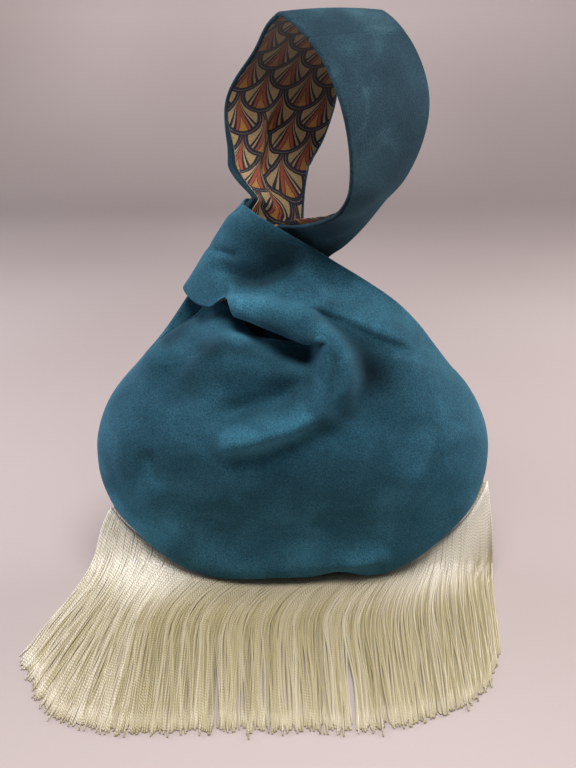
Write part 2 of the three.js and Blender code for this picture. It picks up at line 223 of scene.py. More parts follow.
def root_point(k, t, side):
    """Cubic curve from the mouth line into the knot, leaving along the panel, arriving along the bore."""
    u = k * MOUTH_LEFT
    start = panel_point(u, np.ones_like(u), side)
    rise = unit(start - panel_point(u, np.full_like(u, 0.94), side))
    end = neck_point(np.full_like(k, NECK_FOOT), 2 * k - 1, side)
    reach = np.linalg.norm(end - start, axis=-1, keepdims=True)
    one = start + rise * reach * ROOT_PULL * tall(1 - ROOT_EASE * k * k)
    two = end - BORE * reach * ROOT_PULL
    t = tall(t)
    return start * (1 - t) ** 3 + one * 3 * t * (1 - t) ** 2 + two * 3 * t**2 * (1 - t) + end * t**3


def through(points, t):
    """Cubic pieces through the points, whose slopes come from chords weighted by the root of their length."""
    last = len(points) - 1
    ends = np.concatenate([2 * points[:1] - points[1:2], points, 2 * points[-1:] - points[-2:-1]])
    i = np.minimum((t * last).astype(int), last - 1)
    w = (t * last - i)[:, None, None]
    p = [ends[i + j] for j in range(4)]
    d = [np.sqrt(np.linalg.norm(b - a, axis=-1, keepdims=True) + 1e-6) for a, b in zip(p, p[1:])]
    one = d[1] * ((p[1] - p[0]) / d[0] - (p[2] - p[0]) / (d[0] + d[1]) + (p[2] - p[1]) / d[1])
    two = d[1] * ((p[2] - p[1]) / d[1] - (p[3] - p[1]) / (d[1] + d[2]) + (p[3] - p[2]) / d[2])
    flat = p[1] * (2 * w**3 - 3 * w**2 + 1) + p[2] * (3 * w**2 - 2 * w**3)
    return flat + one * (w**3 - 2 * w**2 + w) + two * (w**3 - w**2)


def cuff_grid(k, t):
    """Short handle: for each k across it, a curve from the front mouth line over the knot to the back one."""
    half, arch = CUFF_WIDTH / 2, CUFF_ARCH * np.sin(np.pi * k)

    def row(side):
        shrink, drop = (1, 0) if side < 0 else (BACK_DEPTH / FRONT_DEPTH, CUFF_BACK_DROP)
        flap = CUFF_HALF_DEPTH + mix(FLAP_LIFT + FLAP_RISE, FLAP_END, k) + arch
        over = CUFF_HALF_DEPTH + mix(FLAP_LIFT, OVER_END, k) + arch * 0.5
        turn = side * CUFF_HALF_DEPTH * TURN_DEPTH
        return [
            panel_point(mix(MOUTH_RIGHT, 1, k), np.ones_like(k), side),
            knot_point(mix(FLAP_FOOT, half - drop, k), mix(*FLAP_ACROSS, k), side * flap * shrink),
            knot_point(mix(OVER_FOOT, half + OVER_TOP - drop, k), mix(*OVER_ACROSS, k), side * over * shrink),
            knot_point(mix(-half, half, k), -CUFF_FOLD * TURN_ACROSS + 0 * k, turn + 0 * k),
        ]

    fold = knot_point(mix(-half - 1, half - 1, k), -CUFF_FOLD + 0 * k, 0 * k)
    return through(np.stack([*row(FRONT), fold, *row(BACK)[::-1]]), t)


print("knot sits at", KNOT, "mm and tips by", round(float(np.degrees(KNOT_TIP))), "degrees")

# %% The loop of the long handle
LOOP_RISE, LOOP_SPAN, LOOP_OFFSET, LOOP_DRIFT = 115, 100, 24, 20
LOOP_TURN = np.radians(53.5)
LOOP_TAPER_FRONT, LOOP_TAPER_BACK = 1.45, 2.0
STRAP_WIDTH, STRAP_CROWN, JOIN_ANGLE = 68, 1.5, 53
LOOP_START, LOOP_END, END_GAP = -82, 238, 1
STRAP_TURN, STRAP_TURN_RATE = 46, 0.14
LEFT_SWELL, LEFT_SWELL_ANGLE, RIGHT_SWELL, RIGHT_SWELL_ANGLE = 3.2, 143, 4, 182
LEFT_SPREAD, RIGHT_SPREADS, KEEP_LEFT, KEEP_RANGE = 20, (22, 34), 0.8, (120, 170)
STRAP_CREASE, CREASE_PLACE, CREASE_WIDTH, CREASE_RANGE = 10, -0.08, 0.14, (168, 192)
FREE_FROM, FREE_TO, FULL_FROM, FULL_TO, FULL_PAST = -30, 195, 22, 150, 14
END_RUN, END_SHARE, DRIFT_START = 14, 0.75, 0.4
RING_OUT = np.array([np.cos(LOOP_TURN), -np.sin(LOOP_TURN), 0])
RING_SIDE = np.array([np.sin(LOOP_TURN), np.cos(LOOP_TURN), 0])


def loop_point(angle, s):
    """Standing ring, 0 in front and 90 on top; its strap turns about the upright and narrows to the knot."""
    c, z = np.cos(np.radians(angle)), np.sin(np.radians(angle))
    ends = np.minimum(smooth(angle, LOOP_START, FREE_FROM), 1 - smooth(angle, FREE_TO, LOOP_END))
    turn = np.radians(STRAP_TURN - STRAP_TURN_RATE * angle)
    wide = np.minimum(smooth(angle, LOOP_START, FULL_FROM), 1 - smooth(angle, FULL_TO, LOOP_END + FULL_PAST))
    half = mix(NECK_WIDTH, STRAP_WIDTH, wide) / 2
    taper = np.where(c > 0, LOOP_TAPER_FRONT, LOOP_TAPER_BACK)
    reach = np.where(z > 0, np.sign(c) * np.abs(c) ** taper, c)
    up = np.array([0, 0, 1.0])
    ring = knot_point(NECK_TOP, 0, 0) + RING_OUT * tall(LOOP_OFFSET + LOOP_SPAN / 2 * reach)
    ring = ring + RING_SIDE * tall(LOOP_DRIFT * mix(DRIFT_START, 1, ends))
    ring = ring + up * tall(LOOP_RISE / 2 * (1 + z))
    keep_left = (STRAP_WIDTH / 2 - half) * smooth(angle, *KEEP_RANGE) * KEEP_LEFT
    edges = LEFT_SWELL * (1 - s) * bell(angle, LEFT_SWELL_ANGLE, LEFT_SPREAD)
    spread = np.where(angle < RIGHT_SWELL_ANGLE, *RIGHT_SPREADS)
    edges = edges + RIGHT_SWELL * (1 + s) * bell(angle, RIGHT_SWELL_ANGLE, spread)
    ring = ring + np.stack([np.cos(turn), np.sin(turn), 0 * turn], -1) * tall(s * half - keep_left + edges)
    crease = np.clip(1 - np.abs(s - CREASE_PLACE) / CREASE_WIDTH, 0, 1)
    crease = STRAP_CREASE * crease * smooth(angle, *CREASE_RANGE)
    ring = ring + (RING_OUT * tall(c) + up * tall(z)) * tall(STRAP_CROWN * (1 - s * s) + crease)
    along = NECK_TOP + END_GAP + END_RUN * ends
    neck = np.where(tall(angle < 90), neck_point(along, s, FRONT), neck_point(along, s, BACK))
    return mix(neck, ring, tall(smooth(ends, 0, END_SHARE)))


top = loop_point(np.array(90.0), np.array(0.0))
print("top of the loop is at", np.round(top, 1), "mm")

# %% [markdown]
# ## From a grid to a piece of cloth
# Cloth is a thin sheet with a soft edge. Each sheet here is a grid of points, given two faces along its
# normals and three rows round its edge, so the edge is round and the mesh is closed.

# %% Mesh helpers
def numbers(grid):
    """Point numbers of a grid of points, in rows."""
    return np.arange(grid[..., 0].size).reshape(grid.shape[:-1])


def grid_quads(ids, side=FRONT):
    """Quads of a grid of point numbers, facing the front where columns run right and rows run up."""
    quads = np.stack([ids[:-1, :-1], ids[:-1, 1:], ids[1:, 1:], ids[1:, :-1]], -1).reshape(-1, 4)
    return quads if side == FRONT else quads[:, ::-1]


def rings_along(path, radius, sides, aside):
    """Round sections square to each path, set by a way that is never along it; also the turn of each side."""
    along = unit(np.gradient(path, axis=-2))
    x = unit(np.cross(along, aside))
    y = np.cross(along, x)
    turn = np.arange(sides) / sides * 2 * np.pi
    ring = x[..., None, :] * tall(np.cos(turn)) + y[..., None, :] * tall(np.sin(turn))
    return path[..., None, :] + ring * tall(tall(np.broadcast_to(radius, path.shape[:-1]))), turn


def ring_quads(ids):
    """Quads between each ring of point numbers and the next ring of its path."""
    a, b = ids[..., :-1, :], ids[..., 1:, :]
    return np.stack([a, np.roll(a, -1, -1), np.roll(b, -1, -1), b], -1).reshape(-1, 4)


def point_normals(points, quads):
    """Sum of the cross products of the diagonals of the quads round each point, made unit."""
    a, b, c, d = (points[quads[:, i]] for i in range(4))
    total = np.zeros_like(points)
    np.add.at(total, quads.ravel(), np.repeat(np.cross(c - a, d - b), 4, axis=0))
    return unit(total)


def open_edges(quads, count):
    """Directed edges that only one quad has."""
    edges = np.concatenate([quads[:, [i, (i + 1) % 4]] for i in range(4)])
    key, back = edges[:, 0] * count + edges[:, 1], edges[:, 1] * count + edges[:, 0]
    return edges[~np.isin(back, key)]


def hold_edges(weight, quads):
    """The weight of each point, and 0 on the open edges."""
    weight[np.unique(open_edges(quads, len(weight)))] = 0
    return weight


def make_piece(name, points, quads, material, uv=None, painted_light_and_tone=None):
    """Puts arrays of points, quads and map coordinates into a smooth mesh object, in metres."""
    mesh = bpy.data.meshes.new(name)
    mesh.vertices.add(len(points))
    mesh.vertices.foreach_set("co", (points * MM).astype(np.float32).ravel())
    mesh.loops.add(quads.size)
    mesh.loops.foreach_set("vertex_index", quads.astype(np.int32).ravel())
    mesh.polygons.add(len(quads))
    mesh.polygons.foreach_set("loop_start", np.arange(0, quads.size, 4, dtype=np.int32))
    if uv is not None:
        layer = mesh.uv_layers.new(name="cloth")
        layer.data.foreach_set("uv", (uv[quads.ravel()] * MM).astype(np.float32).ravel())
    if painted_light_and_tone is not None:
        shade = mesh.attributes.new("painted_light_and_tone", "FLOAT", "POINT")
        shade.data.foreach_set("value", painted_light_and_tone.astype(np.float32))
    mesh.update(calc_edges=True)
    mesh.validate()
    mesh.shade_smooth()
    piece = bpy.data.objects.new(name, mesh)
    bpy.context.scene.collection.objects.link(piece)
    piece.data.materials.append(material)
    return piece


def cloth(name, points, quads, inner, outer, material, uv=None, painted_light_and_tone=None):
    """Faces at points + normal * inner and outer, joined by rows at 45, 90 and 135 degrees round the edge."""
    count = len(points)
    inner, outer = np.broadcast_to(inner, count), np.broadcast_to(outer, count)
    normal = point_normals(points, quads)
    edges = open_edges(quads, count)
    away = np.zeros_like(points)
    side = np.cross(unit(points[edges[:, 1]] - points[edges[:, 0]]), normal[edges[:, 0]])
    np.add.at(away, edges[:, 0], side)
    np.add.at(away, edges[:, 1], side)
    rim = np.unique(edges)
    away, middle, half = unit(away[rim]), ((inner + outer) / 2)[rim], ((outer - inner) / 2)[rim]
    layers = [points + normal * tall(outer), points + normal * tall(inner)]
    rows, number = [], np.zeros(count, int)
    number[rim] = np.arange(len(rim))
    for i, angle in enumerate(np.radians([45, 90, 135])):
        out = normal[rim] * tall(middle + half * np.cos(angle)) + away * tall(half * np.sin(angle))
        layers.append(points[rim] + out)
        rows.append(2 * count + i * len(rim) + number[edges])
    rows = [edges, *rows, edges + count]
    faces = [quads, quads[:, ::-1] + count]
    faces += [np.stack([a[:, 1], a[:, 0], b[:, 0], b[:, 1]], -1) for a, b in zip(rows, rows[1:])]
    index = np.concatenate([np.arange(count), np.arange(count), rim, rim, rim])
    uv, painted_light_and_tone = (None if a is None else a[index] for a in (uv, painted_light_and_tone))
    return make_piece(name, np.concatenate(layers), np.concatenate(faces), material, uv, painted_light_and_tone)


print("mesh helpers ready")

# %% [markdown]
# ## Finishes
# The bag has velvet, printed cotton, plain woven filler, rayon cord and sewing thread. One function adds
# a node and links its inputs; one turns a hex colour to linear light.

# %% Node helpers
def linear(code):
    """Linear colour from an sRGB hex value."""
    c = np.array([int(code[i : i + 2], 16) for i in (1, 3, 5)]) / 255
    return (*np.where(c <= 0.04045, c / 12.92, ((c + 0.055) / 1.055) ** 2.4), 1.0)


def add(tree, kind, inputs=(), out=0, **settings):
    """Adds a node, sets its options, sets or links its inputs by name or order, and gives back an output."""
    node = tree.nodes.new("ShaderNode" + kind)
    for key, value in settings.items():
        setattr(node, key, value)
    for key, value in inputs.items() if isinstance(inputs, dict) else enumerate(inputs):
        if isinstance(value, bpy.types.NodeSocket):
            tree.links.new(value, node.inputs[key])
        else:
            node.inputs[key].default_value = value
    return node.outputs[out]


def calc(tree, operation, *values):
    """Output of a Math node."""
    return add(tree, "Math", values, operation=operation)


def mix_colors(tree, share, below, above, way="MIX"):
    """Two colours mixed by a share, or one laid over the other in another way."""
    return add(tree, "Mix", {0: share, 6: below, 7: above}, out=2, data_type="RGBA", blend_type=way)


def with_painted_light(tree, color):
    """Colour times 1 + a number on each point, which paints light and shade into the colour."""
    painted_light_and_tone = add(tree, "Attribute", out="Fac", attribute_name="painted_light_and_tone")
    return mix_colors(tree, 1.0, color, calc(tree, "ADD", painted_light_and_tone, 1.0), "MULTIPLY")


def dress(tree, shader, color, height, strength, depth):
    """Links a colour to the shader, and a bump of some millimetres in depth from a height."""
    tree.links.new(color, shader.inputs["Base Color"])
    bump = add(tree, "Bump", {"Strength": strength, "Distance": depth * MM, "Height": height})
    tree.links.new(bump, shader.inputs["Normal"])


def new_finish(name, **values):
    """A material with only a Principled shader, whose plain numbers are set on its own sockets."""
    material = bpy.data.materials.new(name)
    material.use_nodes = True
    shader = material.node_tree.nodes["Principled BSDF"]
    for key, value in values.items():
        shader.inputs[key.replace("_", " ")].default_value = value
    return material, material.node_tree, shader


def set_ramp(output, stops):
    """Colour stops of a ramp node: pairs of place and hex colour."""
    ramp = output.node.color_ramp
    while len(ramp.elements) < len(stops):
        ramp.elements.new(0.5)
    for element, (place, code) in zip(ramp.elements, stops):
        element.position = place
        element.color = linear(code)
    return output


# %% [markdown]
# ### Cotton velvet
# The pile is 1 to 2 mm of upright cut thread. It drinks light when seen end on and glows where it is seen
# from the side, so the shader is rough with some sheen. Strokes leave patches of nap some centimetres
# wide, and the pile itself shows as a fine grain, drawn here at 0.85 mm so that a render can show it. A
# number on each point paints light and shade into the colour: darker in shadows and hollows, lighter on
# crests and rims.

# %% Velvet
NAP_PATCH, PILE_GRAIN = 34 * MM, 0.85 * MM


def velvet_finish(name, stops):
    """Nap colour times grain times 1 + painted light and shade on each point, over a rough shader with a
    blue-green sheen.
    """
    material, tree, shader = new_finish(
        name,
        Roughness=0.95,
        Specular_IOR_Level=0.1,
        Sheen_Weight=0.22,
        Sheen_Roughness=0.5,
        Sheen_Tint=linear("#659dba"),
    )
    place = add(tree, "TexCoord", out="Object")
    patch = add(tree, "TexNoise", {"Vector": place, "Scale": 1 / NAP_PATCH, "Detail": 3.0, "Distortion": 0.6})
    pile = add(tree, "TexNoise", {"Vector": place, "Scale": 1 / PILE_GRAIN, "Detail": 2.0})
    nap = set_ramp(add(tree, "ValToRGB", {"Fac": patch}), list(zip((0.3, 0.5, 0.7), stops)))
    grain = set_ramp(add(tree, "ValToRGB", {"Fac": pile}), [(0.3, "#aeaeae"), (0.7, "#ffffff")])
    # The number on each point paints light and shade into the velvet colour.
    color = with_painted_light(tree, mix_colors(tree, 1.0, nap, grain, "MULTIPLY"))
    dress(tree, shader, color, pile, strength=0.5, depth=0.4)
    return material


VELVET_FINISH = velvet_finish("cotton_velvet", ("#214a5c", "#2b586c", "#36687f"))
# The straps use a darker, greyer copy of the same velvet, which paints the shade and grey sheen they show.
SHADED_STRAP_VELVET = velvet_finish("cotton_velvet_painted_shade", ("#192d38", "#233b47", "#385561"))
print("made", VELVET_FINISH.name, "and", SHADED_STRAP_VELVET.name)

# %% [markdown]
# ### Printed cotton lining
# The print is a common fan scale: rows of scallops with round feet, each row half a scale aside from the
# next, in navy lines, cream, orange and ochre. It is worked out from the map coordinates of the cloth.
# The upper row lies over the lower one, so a point belongs to the highest scale whose oval still holds
# it. As on the velvet, a number on each point can paint shade into the print.

# %% Printed lining
SCALE_WIDTH, SCALE_ROW, SCALE_DROP = 28 * MM, 14.5 * MM, 1.04
NAVY, CREAM, ORANGE, OCHRE = "#1c1e31", "#a18c66", "#93462e", "#a07438"
CREAM_FROM, RIM_FROM, FLAME_LINE = 0.56, 0.84, 0.03
RAYS = ((CREAM_FROM, 0.1), (0.95, 0.12))
RINGS = ((RIM_FROM, 0.06), (1.0, 0.09))
FAN_HEIGHT, FAN_POWER, NARROWEST, FLAME = 2.04, 1.8, 0.03, (0.8, -0.4)
WEAVE_GRAIN = 0.7 * MM


def oval_reach(tree, across, down):
    """Distance from the foot of a scale, as a share of its oval."""
    place = add(tree, "CombineXYZ", [across, down])
    place = add(tree, "VectorMath", [place, (2.0, 1 / SCALE_DROP, 0.0)], operation="MULTIPLY")
    return add(tree, "VectorMath", [place], out=1, operation="LENGTH")


def lining_finish():
    """Fans by width over flare, rims by distance from the foot, and navy lines at set values of both."""
    material, tree, shader = new_finish(
        "printed_cotton", Roughness=0.75, Specular_IOR_Level=0.25, Sheen_Weight=0.15, Sheen_Roughness=0.5
    )
    uv = add(tree, "UVMap", uv_map="cloth")
    split = add(tree, "SeparateXYZ", [uv]).node
    x = calc(tree, "DIVIDE", split.outputs[0], SCALE_WIDTH)
    y = calc(tree, "DIVIDE", split.outputs[1], SCALE_ROW)
    row = calc(tree, "FLOOR", calc(tree, "ADD", y, SCALE_DROP))
    odd = calc(tree, "FLOORED_MODULO", row, 2.0)
    shifted = calc(tree, "ADD", x, calc(tree, "MULTIPLY", odd, -0.5))
    aside = calc(tree, "SUBTRACT", calc(tree, "FRACT", calc(tree, "ADD", shifted, 0.5)), 0.5)
    aside_next = calc(tree, "SUBTRACT", calc(tree, "FRACT", shifted), 0.5)
    drop = calc(tree, "SUBTRACT", y, row)
    drop_next = calc(tree, "ADD", drop, 1.0)
    behind = calc(tree, "GREATER_THAN", oval_reach(tree, aside, drop), 1.0)
    a = add(tree, "Mix", {0: behind, 2: aside, 3: aside_next})
    d = add(tree, "Mix", {0: behind, 2: drop, 3: drop_next})
    reach = oval_reach(tree, a, calc(tree, "MINIMUM", d, 0.0))
    fall = calc(tree, "DIVIDE", calc(tree, "SUBTRACT", FAN_HEIGHT / 2, d), FAN_HEIGHT)
    fall = calc(tree, "MAXIMUM", fall, NARROWEST)
    flare = calc(tree, "MULTIPLY", calc(tree, "POWER", fall, FAN_POWER), 0.5)
    fan = calc(tree, "DIVIDE", calc(tree, "ABSOLUTE", a), flare)
    flame = calc(tree, "MULTIPLY_ADD", fall, *FLAME)
    color = mix_colors(tree, calc(tree, "LESS_THAN", fan, flame), linear(ORANGE), linear(OCHRE))
    color = mix_colors(tree, calc(tree, "GREATER_THAN", fan, CREAM_FROM), color, linear(CREAM))
    rim = calc(tree, "GREATER_THAN", reach, RIM_FROM)
    color = mix_colors(tree, rim, color, linear(CREAM))
    ink = calc(tree, "COMPARE", calc(tree, "SUBTRACT", fan, flame), 0.0, FLAME_LINE)
    for at, half in RAYS:
        ink = calc(tree, "MAXIMUM", ink, calc(tree, "COMPARE", fan, at, half))
    ink = calc(tree, "SUBTRACT", ink, rim)
    for at, half in RINGS:
        ink = calc(tree, "MAXIMUM", ink, calc(tree, "COMPARE", reach, at, half))
    color = mix_colors(tree, ink, color, linear(NAVY))
    place = add(tree, "TexCoord", out="Object")
    weave = add(tree, "TexNoise", {"Vector": place, "Scale": 1 / WEAVE_GRAIN, "Detail": 1.0})
    fade = set_ramp(add(tree, "ValToRGB", {"Fac": weave}), [(0.3, "#c8c8c8"), (0.7, "#ffffff")])
    # The number on each point paints shade into the print.
    color = with_painted_light(tree, mix_colors(tree, 1.0, color, fade, "MULTIPLY"))
    dress(tree, shader, color, weave, strength=0.3, depth=0.2)
    return material


LINING_FINISH = lining_finish()
print("made", LINING_FINISH.name, "with", len(LINING_FINISH.node_tree.nodes), "nodes")

# %% [markdown]
# ### Rayon cord, plain filler and thread
# The fringe cord is twisted from bright rayon, so it has a silky gloss and a slanting groove each 2.2 mm.
# The filler and the sewing thread have a plain weave.

# %% Cord, filler and thread
CORD_TWIST = 2.2
PER_METRE = 1 / MM
CORD_SHADES = [(0.0, "#a5a18c"), (0.14, "#dad7c8"), (0.4, "#f3f1e8")]
CORD_TINTS = [(0.0, "#958f7d"), (0.16, "#a9a280"), (0.4, "#b9b39f"), (1.0, "#ffffff")]
WAVE_AT_SCALE_ONE = 0.314


def cord_finish():
    """Painted groove shade by turn + run / twist, times a tint by the random tone of each lock and cord plus
    painted light and shade.
    """
    material, tree, shader = new_finish(
        "rayon_cord", Roughness=0.28, Specular_IOR_Level=0.8, Sheen_Weight=0.25, Sheen_Roughness=0.3
    )
    uv = add(tree, "UVMap", uv_map="cloth")
    split = add(tree, "SeparateXYZ", [uv]).node
    turn = calc(tree, "MULTIPLY", split.outputs[0], PER_METRE)
    run = calc(tree, "MULTIPLY", split.outputs[1], PER_METRE / CORD_TWIST)
    groove = calc(tree, "PINGPONG", calc(tree, "ADD", turn, run), 0.5)
    twist = set_ramp(add(tree, "ValToRGB", {"Fac": groove}), CORD_SHADES)
    # The number on each point holds the random tone of each lock and cord, plus painted light and shade.
    painted_light_and_tone = add(tree, "Attribute", out="Fac", attribute_name="painted_light_and_tone")
    tint = set_ramp(add(tree, "ValToRGB", {"Fac": painted_light_and_tone}), CORD_TINTS)
    color = mix_colors(tree, 1.0, twist, tint, "MULTIPLY")
    dress(tree, shader, color, groove, strength=0.6, depth=0.3)
    return material


def woven_finish(name, light, dark, thread):
    """Plain weave: two crossed waves a thread apart, lighter where both of them are high."""
    material, tree, shader = new_finish(name, Roughness=0.85, Specular_IOR_Level=0.2)
    place = add(tree, "TexCoord", out="Object")
    scale = WAVE_AT_SCALE_ONE / thread
    warp = add(tree, "TexWave", {"Vector": place, "Scale": scale}, bands_direction="X")
    weft = add(tree, "TexWave", {"Vector": place, "Scale": scale}, bands_direction="Z")
    cross = calc(tree, "MULTIPLY", warp, weft)
    color = set_ramp(add(tree, "ValToRGB", {"Fac": cross}), [(0.1, dark), (0.8, light)])
    dress(tree, shader, color, cross, strength=0.5, depth=0.2)
    return material


CORD_FINISH = cord_finish()
FILLER_FINISH = woven_finish("woven_filler", "#ece7da", "#b9b2a0", 0.9 * MM)
THREAD_FINISH = woven_finish("spun_thread", "#6b95a0", "#2c525d", 0.5 * MM)
print("made", CORD_FINISH.name, FILLER_FINISH.name, THREAD_FINISH.name)

# %% [markdown]
# ## Folds
# Cloth under pull makes ridges and hollows that run along the pull. Each fold of the front is drawn as a
# line over the front view, in pixels of the picture, and moves the cloth. The move fades off as a bell,
# with its own width on each side of the line, and fades out at both ends.

# %% Fold helpers
def fold(view, path, left, right, ends=(0.3, 0.3)):
    """exp(-(d/w)^2) of the distance d to a drawn line, w its width on that side, faded at its ends."""
    path = np.array(path, float)
    runs = run_along(path)
    shape = view.shape[:-1]
    best, signed, place = np.full(shape, 1e9), np.zeros(shape), np.zeros(shape)
    for a, b, before in zip(path, path[1:], runs):
        run, off = b - a, view - a
        t = np.clip((off @ run) / (run @ run), 0, 1)
        d = np.linalg.norm(off - tall(t) * run, axis=-1)
        turn = run[0] * off[..., 1] - run[1] * off[..., 0]
        near = d < best
        best = np.where(near, d, best)
        signed = np.where(near, np.sign(turn) * d, signed)
        place = np.where(near, before + t * np.linalg.norm(run), place)
    place = place / runs[-1]
    fade = smooth(place, 0, ends[0]) * (1 - smooth(place, 1 - ends[1], 1))
    return bell(signed, 0, np.where(signed > 0, right, left)) * fade


def spot(view, centre, size):
    """Round bell exp(-(d/size)^2) about a drawn point."""
    d = (view - np.array(centre, float)) / np.array(size, float)
    return np.exp(-np.sum(d * d, -1))


def bells(view, lines, spots=None):
    """Sum of height times bell over tables of lines and spots, in which each row starts with its height."""
    total = np.zeros(len(view))
    for height, *line in lines.values():
        total += height * fold(view, *line)
    for height, *place in (spots or {}).values():
        total += height * spot(view, *place)
    return total


def ripples(points, waves):
    """Soft unevenness: for each height, length and seed, the mean of six sine waves of random ways."""
    total = np.zeros(len(points))
    for height, length, seed in waves:
        rng = np.random.default_rng(seed)
        ways = unit(rng.normal(size=(6, 3))) * 2 * np.pi / length
        total += height * np.sin(points @ ways.T + rng.uniform(0, 2 * np.pi, 6)).mean(-1)
    return total


print("fold helpers ready")

# %% [markdown]
# ## The velvet bag
# A panel, the root of its long strap and its half of the short handle are cut as one piece of velvet.
# Three grids share the points along the mouth line, so the cloth has no seam there.

# %% Sheets of the body
LEFT_COLUMNS, RIGHT_COLUMNS, PANEL_ROWS, ROOT_ROWS, CUFF_ROWS = 80, 80, 176, 48, 120
SIDE_COLUMNS, TUCK_COLUMNS, MIDDLE_COLUMNS, SEAM_SINK, ROW_POWER = 12, 14, 5, 9, 1.5
CUFF_END = {FRONT: 0.515, BACK: 0.478}
BAND_WIDTH, BAND_STEP, BAND_HANG, BAND_CURL, BAND_LIFT = 0.2, 0.268, 4.5, 3.0, 7.0
BAND_START, BAND_SOFT, BAND_POWER, CURL_WIDTH, LIFT_WIDTH, LIFT_END = 0.1, 0.012, 1.3, 0.06, 0.3, 0.335
TIP_ASIDE, TIP_DOWN, TIP_FROM, TIP_SPREAD = 2, 4.7, 0.78, 0.045
GUSSET_GAP, GUSSET_PUFF = 0.3, 2.5
TUCK_PLACES, TUCK_RANGE = np.array([0.18, 0.3, 0.42]), (0.012, 0.30)
TUCK_UNDER, TUCK_HOLLOW = 3.0, 7
MOUTH_FADE, SMOOTH_ROUNDS = (4, 14), 12


def side_gusset(t, side):
    """Edge of the root drawn in to a sunk seam half way to the other root, with a round shoulder."""
    edges = {w: root_point(0 * t, t, w) for w in (FRONT, BACK)}
    sink = ACROSS * tall(SEAM_SINK * np.sin(np.pi * t) ** 0.7)
    sunk = (edges[FRONT] + edges[BACK]) / 2 + sink + BACKWARD * GUSSET_GAP * side
    c = np.linspace(0, 1, SIDE_COLUMNS + 1)[:-1][None, :, None]
    puff = tall(GUSSET_PUFF * np.sin(np.pi * t))[:, None] * 4 * c * (1 - c)
    return mix(sunk[:, None], edges[side][:, None], c) - ACROSS * puff


def mouth_tuck(t, side):
    """Right edge of the root carried up under the short handle, hollow inwards, which shuts the mouth."""
    edge = root_point(1 + 0 * t, t, side)
    along = mix(*TUCK_RANGE, t)
    over = cuff_grid(TUCK_PLACES, along if side < 0 else 1 - along)
    inward = unit(np.cross(over[:, 2] - over[:, 0], np.gradient(over[:, 1], axis=0)))
    top = over[:, 1] + inward * TUCK_UNDER * side
    c = np.linspace(0, 1, TUCK_COLUMNS + 1)[1:][None, :, None]
    hollow = np.array([0, -side, 0]) * TUCK_HOLLOW * 4 * c * (1 - c) * smooth(t, 0, 0.3)[:, None, None]
    return mix(edge[:, None], top[:, None], c) + hollow


def hang_edge(cuff, k, t):
    """Mouth edge of the short handle: it hangs and curls up to a step, then lifts; a blunt top corner."""
    past = BAND_STEP + BAND_SOFT
    on = (smooth(t, 0, BAND_START) * (1 - smooth(t, BAND_STEP - BAND_SOFT, past)))[:, None]
    hang = np.clip(1 - k / BAND_WIDTH, 0, 1) ** BAND_POWER * on
    curl = np.clip(1 - k / CURL_WIDTH, 0, 1) ** 2 * on
    lobe = smooth(t, BAND_STEP - BAND_SOFT / 2, past) * (1 - smooth(t, past, LIFT_END))
    lobe = BAND_LIFT * lobe[:, None] * np.clip(1 - k / LIFT_WIDTH, 0, 1) ** BAND_POWER
    tip = smooth(k, TIP_FROM, 1) * bell(t, 0.5, TIP_SPREAD)[:, None]
    rise = lobe - BAND_HANG * hang - TIP_DOWN * tip
    return cuff + np.stack(np.broadcast_arrays(TIP_ASIDE * tip, BAND_CURL * curl, rise), -1)


def body_sheet(side):
    """Points, quads, and the number of the first point of the root and of the short handle."""
    s = np.linspace(0, 1, LEFT_COLUMNS)
    k_left = mix(s, 1 - np.cos(np.pi / 2 * s), 0.5)
    s = np.linspace(0, 1, RIGHT_COLUMNS)
    k_right = mix(s, np.sin(np.pi / 2 * s), 0.5)
    middle = np.linspace(MOUTH_LEFT, MOUTH_RIGHT, MIDDLE_COLUMNS)[1:-1]
    u = np.concatenate([k_left * MOUTH_LEFT, middle, mix(MOUTH_RIGHT, 1, k_right)])
    v = np.linspace(0, 1, PANEL_ROWS) ** ROW_POWER
    panel = panel_point(*np.meshgrid(u, v), side)
    t = np.linspace(0, 1, ROOT_ROWS)
    root = root_point(*np.meshgrid(k_left, t), side)
    root = np.concatenate([side_gusset(t, side), root, mouth_tuck(t, side)], axis=1)
    t = np.linspace(0, 1, CUFF_ROWS)[1:] * CUFF_END[side]
    cuff = hang_edge(cuff_grid(k_right, t if side < 0 else 1 - t), k_right, t)
    ids = numbers(panel)
    root_ids = ids.size + numbers(root)
    cuff_ids = root_ids.max() + 1 + numbers(cuff)
    starts = root_ids.min(), cuff_ids.min()
    shared = LEFT_COLUMNS + len(middle)
    root_ids[0, SIDE_COLUMNS : SIDE_COLUMNS + shared] = ids[-1, :shared]
    cuff_all = np.vstack([ids[-1:, -RIGHT_COLUMNS:], cuff_ids])
    quads = np.concatenate([grid_quads(g, side) for g in (ids, root_ids, cuff_all)])
    points = np.concatenate([g.reshape(-1, 3) for g in (panel, root, cuff)])
    used, quads = np.unique(quads, return_inverse=True)
    return points[used], quads.reshape(-1, 4), *np.searchsorted(used, starts)


def relax(points, quads, weight, rounds):
    """Moves each point towards the mean of its neighbours by its weight, again and again."""
    edges = np.concatenate([quads[:, [i, (i + 1) % 4]] for i in range(4)])
    edges = np.concatenate([edges, edges[:, ::-1]])
    count = np.bincount(edges[:, 0], minlength=len(points))
    for _ in range(rounds):
        total = np.zeros_like(points)
        np.add.at(total, edges[:, 0], points[edges[:, 1]])
        points = points + (total / tall(np.maximum(count, 1)) - points) * tall(weight)
    return points


def near_mouth_line(points, quads, side):
    """Weight that is a half along the mouth line, fades out 14 mm from it, and is 0 on open edges."""
    line = panel_point(np.linspace(0, 1, 60), np.ones(60), side)
    gap = np.min(np.linalg.norm(points[:, None] - line[None], axis=-1), axis=1)
    return hold_edges(0.5 * (1 - smooth(gap, *MOUTH_FADE)), quads)


